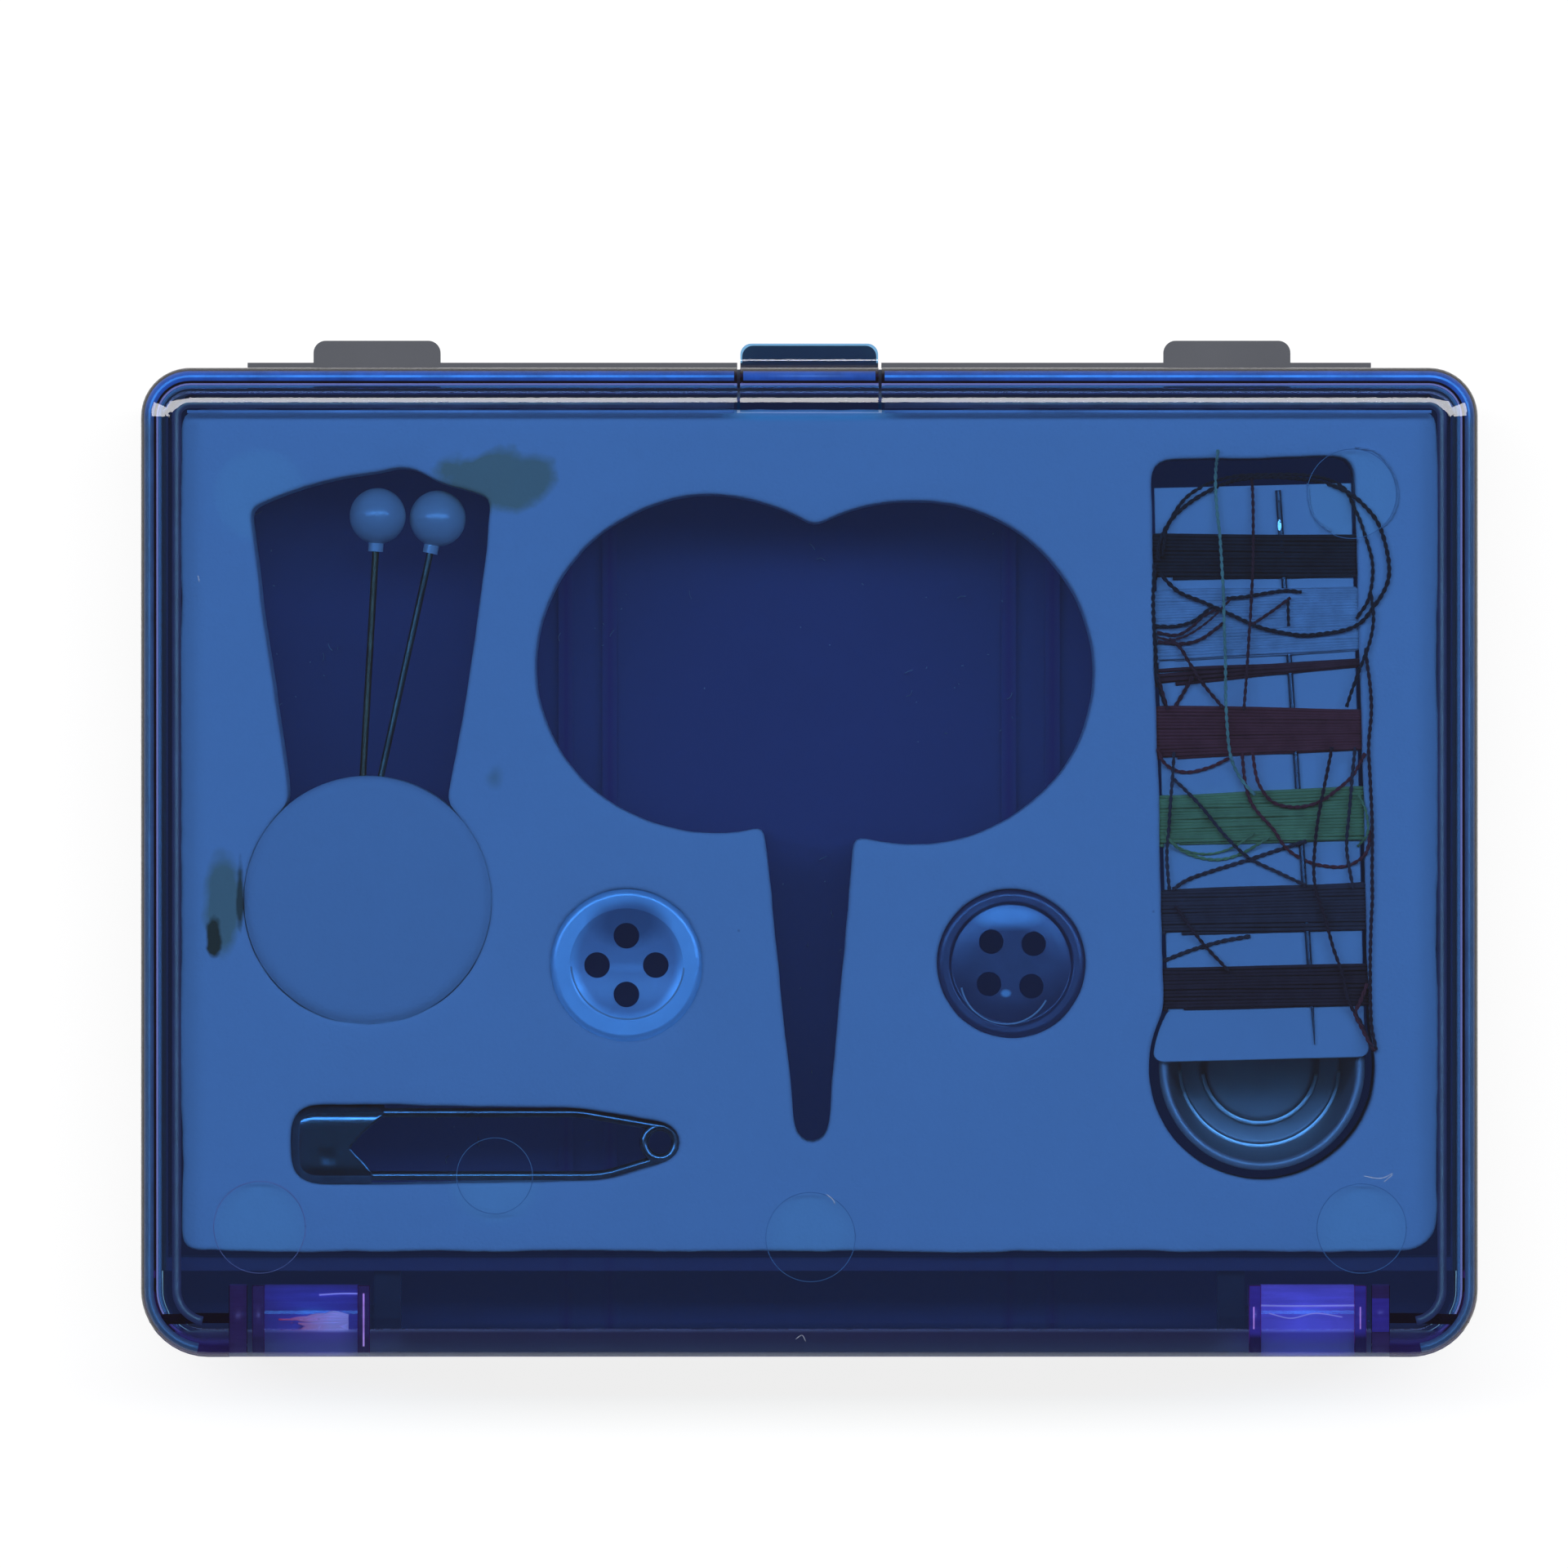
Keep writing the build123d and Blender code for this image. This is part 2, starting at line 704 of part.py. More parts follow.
def safety_pin_slot():
    """The slot that follows the closed safety pin."""
    coil = Pos(*coil_centre) * Circle(coil_radius + wire_radius)
    top_bend = Pos(top_leg_bend, clasp_top - clasp_sheet - wire_radius) * Circle(wire_radius)
    bottom_bend = Pos(bottom_leg_bend, clasp_bottom + clasp_sheet + wire_radius) * Circle(
        wire_radius
    )
    edges = clasp_plan(0).edges() + coil.edges() + top_bend.edges() + bottom_bend.edges()
    return make_hull(edges)


def keyhole_pocket():
    """A long slot for the thread card that opens into a round well for the thimble."""
    slot_width = card_width + 2 * wind_edge - 2 * grip
    slot_length = card_length + keyhole_end_gap
    slot = Pos(0, keyhole_end_gap / 2) * Rectangle(slot_width, slot_length)
    slot = fillet(slot.vertices().group_by(Axis.Y)[-1], keyhole_corner)
    return on_card(slot) + Pos(*thimble_centre) * Circle(thimble_well_radius)


def foam_plan():
    """The block's outline: a rectangle, one rear corner worn rounder than the rest."""
    left = -half_width + cavity_inset + foam_side_gap
    right = -left
    rear = partition_front + foam_rear_gap
    front = half_depth - cavity_inset - foam_front_gap
    plan = Pos(0, (rear + front) / 2) * Rectangle(right - left, front - rear)
    worn = plan.vertices().group_by(Axis.Y)[0].sort_by(Axis.X)[-1]
    plan = fillet(worn, foam_worn_corner)
    sharp = [
        v for v in plan.vertices() if abs(v.X - left) < grip or abs(v.Y - front) < grip
    ]
    return fillet(sharp, foam_corner)


def foam_insert():
    """The white foam block with every pocket cut right through."""
    plan = foam_plan()
    plan -= scissors_pocket()
    plan -= fan_pocket() + Pos(*cushion_centre) * Circle(cushion_radius - grip)
    plan -= Pos(*pearl_centre) * Circle(pearl_radius - grip)
    plan -= Pos(*grey_centre) * Circle(grey_radius - grip)
    plan -= safety_pin_slot()
    plan -= keyhole_pocket()
    return prism(plan, foam_bottom, foam_top)


def pincushion():
    """A round plug of the same foam, left in its hole and stuck with two pins."""
    plug = prism(Pos(*cushion_centre) * Circle(cushion_radius), foam_bottom, foam_top + cushion_rise)
    plug = fillet(plug.edges().group_by(Axis.Z)[-1], cushion_edge_radius)
    plug -= shaft_line(left_ball, left_entry, left_pin_depth) * pin_shaft()
    return plug - shaft_line(right_ball, right_entry, right_pin_depth) * pin_shaft()


# ------------------------------------------------------------------ the pieces
left_line = shaft_line(left_ball, left_entry, left_pin_depth)
right_line = shaft_line(right_ball, right_entry, right_pin_depth)
pearl_seat = Pos(*pearl_centre, foam_top - button_sink - pearl_thickness)
grey_seat = Pos(*grey_centre, foam_top - button_sink - grey_thickness)
pieces = {
    "base_tray": base_tray(),
    "lid": lid(),
    "latch_tongue": latch_tongue(),
    "foam_insert": foam_insert(),
    "pincushion": pincushion(),
    "pin_shaft_left": left_line * pin_shaft(),
    "pin_head_left": left_line * pin_head(),
    "pin_shaft_right": right_line * pin_shaft(),
    "pin_head_right": right_line * pin_head(),
    "button_pearl": pearl_seat
    * button(dished_face(), pearl_thickness, pearl_hole_radius, pearl_hole_circle, pearl_turn),
    "button_grey": grey_seat
    * button(ringed_face(), grey_thickness, grey_hole_radius, grey_hole_circle, grey_turn),
    "safety_pin_clasp": safety_pin_clasp(),
    "safety_pin_wire": safety_pin_wire(),
    "thimble": thimble(),
    "thread_card": thread_card(),
    "needle": needle(),
}
for name, (place, width) in windings.items():
    pieces[name] = winding(place, width)

for name, piece in pieces.items():
    export_step(piece, f"parts/{name}.step")
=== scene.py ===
# %% [markdown]
# # A pocket sewing kit in a clear blue box
#
# This notebook dresses a flat plastic sewing kit. The lid is clear blue plastic, so nearly
# everything is seen through it: a white foam block, two buttons, a safety pin, two ball-head pins
# in a round pincushion, a card wound with seven threads, a needle and a thimble.
#
# The frame holds the rigid pieces at their true sizes. Here they get their finishes, and the soft
# pieces (foam and thread) are built again as what they are.

# %% Load the frame
import random
from math import cos, pi, radians, sin

import bmesh
import bpy
import numpy as np
from mathutils import Matrix, Vector, noise
from mathutils.geometry import delaunay_2d_cdt


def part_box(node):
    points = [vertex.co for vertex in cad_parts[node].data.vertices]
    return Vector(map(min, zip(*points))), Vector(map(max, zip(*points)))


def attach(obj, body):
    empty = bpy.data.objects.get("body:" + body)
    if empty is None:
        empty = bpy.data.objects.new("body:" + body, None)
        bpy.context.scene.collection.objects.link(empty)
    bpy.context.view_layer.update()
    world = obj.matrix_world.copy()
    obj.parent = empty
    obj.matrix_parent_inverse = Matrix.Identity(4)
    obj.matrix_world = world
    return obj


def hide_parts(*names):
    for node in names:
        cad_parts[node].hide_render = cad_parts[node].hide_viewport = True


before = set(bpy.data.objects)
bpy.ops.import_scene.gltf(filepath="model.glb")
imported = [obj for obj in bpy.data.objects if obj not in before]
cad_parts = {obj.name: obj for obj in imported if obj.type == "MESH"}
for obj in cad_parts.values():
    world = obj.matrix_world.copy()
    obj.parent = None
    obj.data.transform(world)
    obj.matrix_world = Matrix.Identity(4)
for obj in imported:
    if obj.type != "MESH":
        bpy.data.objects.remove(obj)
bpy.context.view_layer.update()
MM = 0.001

# %% [markdown]
# ## The camera
#
# A long lens far away keeps the four side walls from leaning outward, as a scanner would. The
# distance follows from the lens and from how wide a strip of the lid fills the picture.

# %% Camera
view_width = 128.0 * MM
view_middle = Vector((-2.07, 6.4, 22.0)) * MM
camera_data = bpy.data.cameras.new("camera")
camera_data.lens = 800.0
camera_data.sensor_width = 36.0
camera = bpy.data.objects.new("camera", camera_data)
bpy.context.collection.objects.link(camera)
camera.location = view_middle + Vector((0, 0, view_width * camera_data.lens / camera_data.sensor_width))
camera_data.clip_end = 20.0
bpy.context.scene.camera = camera
bpy.context.scene.view_settings.view_transform = "Standard"
print("camera height above the lid (mm):", round((camera.location.z - view_middle.z) / MM))

# %% [markdown]
# ## Helpers for shader nodes
#
# Every finish below is a small node tree. These helpers keep the cells short: they add a node and
# set its inputs, do sums on sockets, start a material with a single Principled shader, and start a
# node group with named sockets. Groups hold effects that several finishes share.

# %% Node helpers
def give(tree, socket, value):
    """Gives an input its value: another node's socket is linked, a plain value is set."""
    if isinstance(value, bpy.types.NodeSocket):
        tree.links.new(value, socket)
    else:
        socket.default_value = value


def node(tree, kind, **values):
    """Adds a node, sets its properties and inputs, and returns it."""
    made = tree.nodes.new(kind)
    for name, value in values.items():
        key = name.replace("_", " ")
        if name in made.bl_rna.properties and key not in made.inputs:
            setattr(made, name, value)
        else:
            give(tree, made.inputs[key], value)
    return made


def maths(tree, operation, a, b=0.0, clamp=False):
    """A maths node on two values or sockets, and its output."""
    made = node(tree, "ShaderNodeMath", operation=operation, use_clamp=clamp)
    give(tree, made.inputs[0], a)
    give(tree, made.inputs[1], b)
    return made.outputs[0]


def times(tree, a, b):
    return maths(tree, "MULTIPLY", a, b)


def vector_maths(tree, operation, *values):
    """A vector maths node on two sockets, or on one."""
    made = node(tree, "ShaderNodeVectorMath", operation=operation)
    for place, value in enumerate(values):
        tree.links.new(value, made.inputs[place])
    return made.outputs


def ramp(tree, value, start, length):
    """0 up to start, 1 from start + length on, and even between. A length below 0 runs backward."""
    return maths(tree, "DIVIDE", maths(tree, "SUBTRACT", value, start), length, clamp=True)


def blend_colour(tree, amount, a, b):
    """A colour mix of a and b by amount, and its output."""
    made = node(tree, "ShaderNodeMix", data_type="RGBA")
    for place, value in ((0, amount), (6, a), (7, b)):
        give(tree, made.inputs[place], value)
    return made.outputs[2]


def shade(colour, share=1.0):
    """A colour made darker or lighter by share, as a colour input takes it."""
    return tuple(c * share for c in colour) + (1,)


print("node helpers ready")

# %% Starting a material or a node group
def start_material(name, colour, roughness, **values):
    """A material with one Principled shader whose constants sit on its own sockets."""
    material = bpy.data.materials.new(name)
    material.use_nodes = True
    tree = material.node_tree
    tree.nodes.clear()
    shader = node(tree, "ShaderNodeBsdfPrincipled", Roughness=roughness, **values)
    shader.inputs["Base Color"].default_value = shade(colour)
    output = tree.nodes.new("ShaderNodeOutputMaterial")
    tree.links.new(shader.outputs[0], output.inputs["Surface"])
    material.diffuse_color = shade(colour)
    return material, tree, shader


def start_group(name, inputs, outputs):
    """A shader node group with named inputs (name: (type, default)) and outputs (name: type)."""
    group = bpy.data.node_groups.new(name, "ShaderNodeTree")
    for label, (kind, default) in inputs.items():
        socket = group.interface.new_socket(label, in_out="INPUT", socket_type=kind)
        if default is not None:
            socket.default_value = default
    for label, kind in outputs.items():
        group.interface.new_socket(label, in_out="OUTPUT", socket_type=kind)
    return group, group.nodes.new("NodeGroupInput"), group.nodes.new("NodeGroupOutput")


def use_group(tree, group, **values):
    """Places a node group in a tree with its own values."""
    made = tree.nodes.new("ShaderNodeGroup")
    made.node_tree = group
    for name, value in values.items():
        give(tree, made.inputs[name.replace("_", " ")], value)
    return made


print("material and group helpers ready")

# %% Places, tones and bumps
def object_place(tree):
    """The point on the piece, in metres, in the shared frame."""
    return node(tree, "ShaderNodeTexCoord").outputs["Object"]


def object_axes(tree):
    """The X, the Y and the Z of the point on the piece."""
    return node(tree, "ShaderNodeSeparateXYZ", Vector=object_place(tree)).outputs


def give_tone(tree, shader, tone, *more):
    """Links a colour to the shader's Base Color, and to the other inputs that are named."""
    for name in ("Base Color", *more):
        tree.links.new(tone, shader.inputs[name])


def give_bump(tree, shader, height, strength, distance):
    """Turns a height into the shader's Normal; distance is in millimetres."""
    bump = node(tree, "ShaderNodeBump", Strength=strength, Distance=distance * MM, Height=height)
    tree.links.new(bump.outputs[0], shader.inputs["Normal"])


print("place and tone helpers ready")

# %% [markdown]
# ## Group: fine grain
#
# Moulded plastic, foam and paper all have a skin that is not quite even. A two-scale noise gives
# that: large soft clouds change the colour a little, and a fine grain feeds the bump. It is one
# group, because most finishes share it and only their scales differ.

# %% Group: fine grain
FLOAT = "NodeSocketFloat"
VECTOR = "NodeSocketVector"


def make_fine_grain():
    group, given, result = start_group(
        "fine grain",
        {"Place": (VECTOR, None), "Cloud Size": (FLOAT, 8.0), "Grain Size": (FLOAT, 0.3)},
        {"Clouds": FLOAT, "Grain": FLOAT},
    )
    place = given.outputs["Place"]
    for label, size, detail in (("Clouds", "Cloud Size", 3.0), ("Grain", "Grain Size", 2.0)):
        scale = maths(group, "DIVIDE", 1 / MM, given.outputs[size])
        texture = node(group, "ShaderNodeTexNoise", Scale=scale, Detail=detail, Roughness=0.55, Vector=place)
        group.links.new(texture.outputs[0], result.inputs[label])
    return group


fine_grain = make_fine_grain()
print("group:", fine_grain.name)

# %% [markdown]
# ## Group: dust specks
#
# A box that has been handled holds a few pale specks and lint under and on its lid. Voronoi cells
# give one point each, and only cells whose random value is high keep theirs, so the specks are few
# and lie nowhere in particular.

# %% Group: dust specks
def make_dust():
    group, given, result = start_group(
        "dust specks",
        {
            "Place": (VECTOR, None),
            "Spacing": (FLOAT, 4.0),
            "Speck Size": (FLOAT, 0.1),
            "Share": (FLOAT, 0.3),
        },
        {"Mask": FLOAT},
    )
    scale = maths(group, "DIVIDE", 1 / MM, given.outputs["Spacing"])
    cells = node(group, "ShaderNodeTexVoronoi", feature="F1", Scale=scale, Vector=given.outputs["Place"])
    reach = maths(group, "DIVIDE", given.outputs["Speck Size"], given.outputs["Spacing"])
    near = maths(group, "LESS_THAN", cells.outputs["Distance"], reach)
    lottery = node(group, "ShaderNodeSeparateColor", Color=cells.outputs["Color"])
    kept = maths(group, "LESS_THAN", lottery.outputs[0], given.outputs["Share"])
    group.links.new(times(group, near, kept), result.inputs["Mask"])
    return group


dust = make_dust()
print("group:", dust.name)

# %% [markdown]
# ## Group: drawn metal
#
# Pins, needle, clasp and thimble are drawn or stamped steel. Their surface has streaks along the
# way the metal was pulled, and a dull film here and there. The group gives streaks that are long
# along one axis, and a cloud for the film; each metal finish sets how strong they are.

# %% Group: drawn metal
def make_drawn_metal():
    group, given, result = start_group(
        "drawn metal",
        {"Place": (VECTOR, None), "Stretch": (VECTOR, (6.0, 0.4, 6.0))},
        {"Streaks": FLOAT, "Film": FLOAT},
    )
    along = vector_maths(group, "MULTIPLY", given.outputs["Place"], given.outputs["Stretch"])
    streaks = node(group, "ShaderNodeTexNoise", Scale=0.9 / MM, Detail=4.0, Vector=along[0])
    film = node(group, "ShaderNodeTexNoise", Scale=0.35 / MM, Detail=3.0, Vector=given.outputs["Place"])
    group.links.new(streaks.outputs[0], result.inputs["Streaks"])
    group.links.new(film.outputs[0], result.inputs["Film"])
    return group


drawn_metal = make_drawn_metal()
print("group:", drawn_metal.name)

# %% [markdown]
# ## Finish: the clear blue lid
#
# The lid is dyed polystyrene. Where it is thin it looks mid blue, and where it is thick (rim,
# barrels) it turns deep violet-blue. Colour that deepens with thickness can't be a surface colour
# alone: a Volume Absorption inside the plastic takes off more green and red the further light goes.
# The shader's own colour adds the part of the tint that doesn't change with depth.
#
# A lamp's light can't find its way through a bending surface in a few samples, so for shadow rays
# and for light that bounces off the foam the surface is simply clear, and the volume still tints.
#
# The mould is polished where the lid is looked through, and left matt under the rear edge, over the
# hinge. So the roughness rises there, which also stops the flat underside from mirroring the lamp,
# and the tone there is darkened as painted shade. A faint warm haze stands for the
# light that dust and fine scuffs scatter.

# %% Finish: clear blue plastic
clear_tone, matt_shade_tone = (0.29, 0.95, 1.0), (0.045, 0.09, 0.4)
matt_start, matt_run, matt_level = -37.95, 0.35, 0.7
plate_middle = 20.7
haze, haze_tone = 0.004, (1.0, 0.7, 0.4)
easy_tone = (0.6, 0.97, 1.0)
dye_depth, dye_tone = 571.0, (0.48, 0.0, 0.545)


def make_clear_blue():
    material, tree, shader = start_material(
        "clear blue plastic", clear_tone, 0.0, IOR=1.5, Transmission_Weight=1.0, Emission_Strength=haze
    )
    shader.inputs["Emission Color"].default_value = shade(haze_tone)
    _, y, z = object_axes(tree)
    under = maths(tree, "LESS_THAN", z, plate_middle * MM)
    matt = times(tree, ramp(tree, y, matt_start * MM, -matt_run * MM), under)
    tree.links.new(times(tree, matt, matt_level), shader.inputs["Roughness"])
    # Painted shade: over the matt strip the tone turns much darker than the clear tone.
    give_tone(tree, shader, blend_colour(tree, matt, shade(clear_tone), shade(matt_shade_tone)))
    rays = node(tree, "ShaderNodeLightPath").outputs
    easy = maths(tree, "MAXIMUM", rays["Is Shadow Ray"], rays["Is Diffuse Ray"])
    clear = node(tree, "ShaderNodeBsdfTransparent", Color=shade(easy_tone))
    choice = node(tree, "ShaderNodeMixShader")
    tree.links.new(easy, choice.inputs[0])
    tree.links.new(shader.outputs[0], choice.inputs[1])
    tree.links.new(clear.outputs[0], choice.inputs[2])
    output = tree.nodes["Material Output"]
    tree.links.new(choice.outputs[0], output.inputs["Surface"])
    depth = node(tree, "ShaderNodeVolumeAbsorption", Density=dye_depth, Color=shade(dye_tone))
    tree.links.new(depth.outputs[0], output.inputs["Volume"])
    return material


clear_blue = make_clear_blue()
print("finish:", clear_blue.name)

# %% [markdown]
# ## Finish: the smoke-grey tray
#
# The tray is the same kind of plastic with a smoke dye, dark enough to hide what is behind it. Its
# moulded skin is smooth with a faint orange-peel. Under the blue lid the light that gets inside
# is violet-blue, and that light is painted into the colour of the floor and the inner walls as a
# violet tint, while the rim, the tabs and the outer walls stay a neutral grey. Light from below
# comes through the thin floor a little, which is drawn as a faint glow of the inner faces. Painted
# shade darkens the tone up the walls and at the hinge arms, and the tone also darkens over the
# floor's ribs. What counts as inside is a box with cut corners.

# %% Finish: smoke plastic
outer_deep, outer_pale = (0.062, 0.066, 0.08), (0.09, 0.095, 0.112)
# The inner tones: the floor's own grey with the violet light under the lid painted in.
violet_lit_floor_deep, violet_lit_floor_pale = (0.082, 0.06, 0.137), (0.112, 0.076, 0.174)
rib_lines, rib_reach, rib_tone = (-20.0, -16.4, 16.4, 20.0), 0.75, (0.08, 0.02, 0.12)
# Painted shade up the walls and over the hinge arms.
wall_start, wall_run, wall_shade_share, wall_shade_tone = 4.0, 9.0, 0.7, (0.05, 0.03, 0.07)
arm_line, arm_shade_share, arm_shade_tone = -33.4, 0.9, (0.012, 0.005, 0.006)
passed_light, passed_tone = 0.3, (0.01, 0.05, 0.15)
inner_x, inner_middle, inner_y, inner_corner, inner_floor = 52.2, -0.15, 38.15, 88.7, 1.4


def make_smoke():
    material, tree, shader = start_material(
        "smoke plastic", (0.11, 0.115, 0.13), 0.4,
        IOR=1.5, Specular_IOR_Level=0.15, Emission_Strength=passed_light,
    )
    grain = use_group(tree, fine_grain, Place=object_place(tree), Cloud_Size=14.0, Grain_Size=0.7)
    clouds = grain.outputs["Clouds"]
    outside = blend_colour(tree, clouds, shade(outer_deep), shade(outer_pale))
    inside = blend_colour(tree, clouds, shade(violet_lit_floor_deep), shade(violet_lit_floor_pale))
    x, y, z = object_axes(tree)
    for line in rib_lines:
        off = maths(tree, "ABSOLUTE", maths(tree, "SUBTRACT", x, line * MM))
        beside = ramp(tree, off, rib_reach * MM, -rib_reach * MM)
        inside = blend_colour(tree, beside, inside, shade(rib_tone))
    # Painted shade: darker up the walls, and darker still over the hinge arms.
    rise = ramp(tree, z, wall_start * MM, wall_run * MM)
    inside = blend_colour(tree, times(tree, rise, wall_shade_share), inside, shade(wall_shade_tone))
    arms = times(tree, maths(tree, "LESS_THAN", y, arm_line * MM), rise)
    inside = blend_colour(tree, times(tree, arms, arm_shade_share), inside, shade(arm_shade_tone))
    off_x = maths(tree, "ABSOLUTE", x)
    off_y = maths(tree, "ABSOLUTE", maths(tree, "SUBTRACT", y, inner_middle * MM))
    within = maths(tree, "GREATER_THAN", z, inner_floor * MM)
    for off, limit in ((off_x, inner_x), (off_y, inner_y), (maths(tree, "ADD", off_x, off_y), inner_corner)):
        within = times(tree, within, maths(tree, "LESS_THAN", off, limit * MM))
    give_tone(tree, shader, blend_colour(tree, within, outside, inside))
    passed = blend_colour(tree, within, (0, 0, 0, 1), shade(passed_tone))
    tree.links.new(passed, shader.inputs["Emission Color"])
    give_bump(tree, shader, grain.outputs["Grain"], 0.06, 0.1)
    return material


smoke = make_smoke()
print("finish:", smoke.name)

# %% [markdown]
# ## Giving the rigid pieces their finish
#
# The lid, tray, pins and buttons keep their exact shapes, so they only take a material. A piece's
# slots are cleared first, because the frame brings a plain one with each piece.

# %% Give a finish to frame pieces
def finish_node(name, material):
    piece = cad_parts[name]
    piece.data.materials.clear()
    piece.data.materials.append(material)


for name, material in (("lid", clear_blue), ("latch_tongue", clear_blue), ("base_tray", smoke)):
    finish_node(name, material)
print("lid, latch and tray are dressed")

# %% [markdown]
# ## Helpers for meshes
#
# The soft and formed pieces are built point by point, in millimetres. `lathe` spins a half profile
# round an upright axis, as a thimble is spun and a plug of foam is punched. `tube` runs a round
# section along a line of points, as thread does. `new_piece` turns points and faces into an
# object, gives it a finish and says which body it rides on.

# %% Mesh helpers
TRAY, LID, LATCH = "tray", "lid", "latch"


def box_mm(name):
    """The low and the high corner of a frame piece, in millimetres."""
    return [[v / MM for v in corner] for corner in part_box(name)]


def middle_of(low, high):
    """The middle between two corners."""
    return [(a + b) / 2 for a, b in zip(low, high)]


def new_piece(name, points, faces, material, body, slot, smooth=True):
    """A mesh object from points in millimetres, with its finish and its body; slot is not used."""
    mesh = bpy.data.meshes.new(name)
    mesh.from_pydata([tuple(c * MM for c in p) for p in points], [], faces)
    mesh.materials.append(material)
    work = bmesh.new()
    work.from_mesh(mesh)
    bmesh.ops.remove_doubles(work, verts=work.verts, dist=0.0005 * MM)
    bmesh.ops.recalc_face_normals(work, faces=work.faces)
    work.to_mesh(mesh)
    work.free()
    mesh.polygons.foreach_set("use_smooth", [smooth] * len(mesh.polygons))
    piece = bpy.data.objects.new(name, mesh)
    bpy.context.collection.objects.link(piece)
    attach(piece, body)
    return piece


def lid_piece(name, shape, material):
    """A piece inside the lid's own plastic, from its points and faces."""
    return new_piece(name, *shape, material, LID, "clear_blue_plastic")


print("piece helpers ready")

# %% Turned shapes and tubes
def band(low, high, count):
    """The faces between two rings of count points, which start at the points low and high."""
    return [(low + k, low + (k + 1) % count, high + (k + 1) % count, high + k) for k in range(count)]


def lathe(profile, centre, steps=96):
    """Points and faces of a half profile of (radius, height), spun round an upright axis."""
    points, faces, rings = [], [], []
    for radius, height in profile:
        if radius < 1e-6:
            rings.append([len(points)] * steps)
            points.append((centre[0], centre[1], height))
            continue
        rings.append([len(points) + k for k in range(steps)])
        for k in range(steps):
            turn = 2 * pi * k / steps
            points.append((centre[0] + radius * cos(turn), centre[1] + radius * sin(turn), height))
    for low, high in zip(rings, rings[1:]):
        for k in range(steps):
            after = (k + 1) % steps
            corners = [low[k], low[after], high[after], high[k]]
            faces.append(tuple(dict.fromkeys(corners)))
    return points, faces


def tube(path, radius, sides=6):
    """Points and faces of a round tube along a path, its ends closed."""
    points, faces = [], []
    side = None
    for k, middle in enumerate(path):
        ahead = path[min(k + 1, len(path) - 1)] - path[max(k - 1, 0)]
        ahead.normalize()
        if side is None:
            side = ahead.orthogonal().normalized()
        side = (side - ahead * side.dot(ahead)).normalized()
        other = ahead.cross(side)
        for n in range(sides):
            turn = 2 * pi * n / sides
            points.append(middle + (side * cos(turn) + other * sin(turn)) * radius)
    for k in range(len(path) - 1):
        faces.extend(band(k * sides, (k + 1) * sides, sides))
    faces.append(tuple(range(sides)))
    faces.append(tuple(len(points) - sides + n for n in range(sides)))
    return points, faces


print("shape helpers ready")

# %% Arcs and smooth lines
def arc(centre, radius, start, end, count):
    """Count steps along a part of a circle, as pairs, its ends in degrees."""
    points = []
    for k in range(count + 1):
        turn = radians(start + (end - start) * k / count)
        points.append((centre[0] + radius * cos(turn), centre[1] + radius * sin(turn)))
    return points


def join(parts):
    """Points and faces of several parts as one."""
    points, faces = [], []
    for more_points, more_faces in parts:
        start = len(points)
        points.extend(more_points)
        faces.extend(tuple(start + n for n in face) for face in more_faces)
    return points, faces


def smooth_line(corners, step):
    """A smooth line through its corners, cut into points about one step apart."""
    corners = [Vector(c) for c in corners]
    ends = [2 * corners[0] - corners[1], *corners, 2 * corners[-1] - corners[-2]]
    line = []
    for a, b, c, d in zip(ends, ends[1:], ends[2:], ends[3:]):
        count = max(2, round((c - b).length / step))
        for k in range(count):
            t = k / count
            bent = (2 * a - 5 * b + 4 * c - d) * t**2 + (3 * b - a - 3 * c + d) * t**3
            line.append((2 * b + (c - a) * t + bent) / 2)
    line.append(corners[-1])
    return line


print("line helpers ready")

# %% [markdown]
# ## Finish: die-cut foam
#
# The block is white polyethylene foam. Its skin is a little uneven, its cells show as a very fine
# grain, and old stains have soaked in: an olive one beside the pins, and a rusty strip beside the
# pincushion with dark marks at its edge. A stain is a soft-edged oval whose outline a noise pushes
# about, so it is made once as a group. It is placed once for each mark, and the two larger stains
# are mottled by a second and a third mark on top.

# %% Group: stain
def make_stain():
    group, given, result = start_group(
        "stain",
        {
            "Place": (VECTOR, None),
            "Middle": (VECTOR, (0, 0, 0)),
            "Reach": (VECTOR, (1, 1, 1)),
            "Ragged": (FLOAT, 0.5),
            "Edge": (FLOAT, 0.15),
        },
        {"Mask": FLOAT},
    )
    place = given.outputs["Place"]
    away = vector_maths(group, "SUBTRACT", place, given.outputs["Middle"])
    share = vector_maths(group, "DIVIDE", away[0], given.outputs["Reach"])
    far = vector_maths(group, "LENGTH", share[0])
    wander = node(group, "ShaderNodeTexNoise", Scale=0.45 / MM, Detail=4.0, Vector=place)
    push = times(group, maths(group, "SUBTRACT", wander.outputs[0], 0.5), given.outputs["Ragged"])
    left = maths(group, "SUBTRACT", 1.0, maths(group, "ADD", far["Value"], push))
    inside = maths(group, "DIVIDE", left, given.outputs["Edge"], clamp=True)
    group.links.new(inside, result.inputs["Mask"])
    return group


stain = make_stain()
print("group:", stain.name)

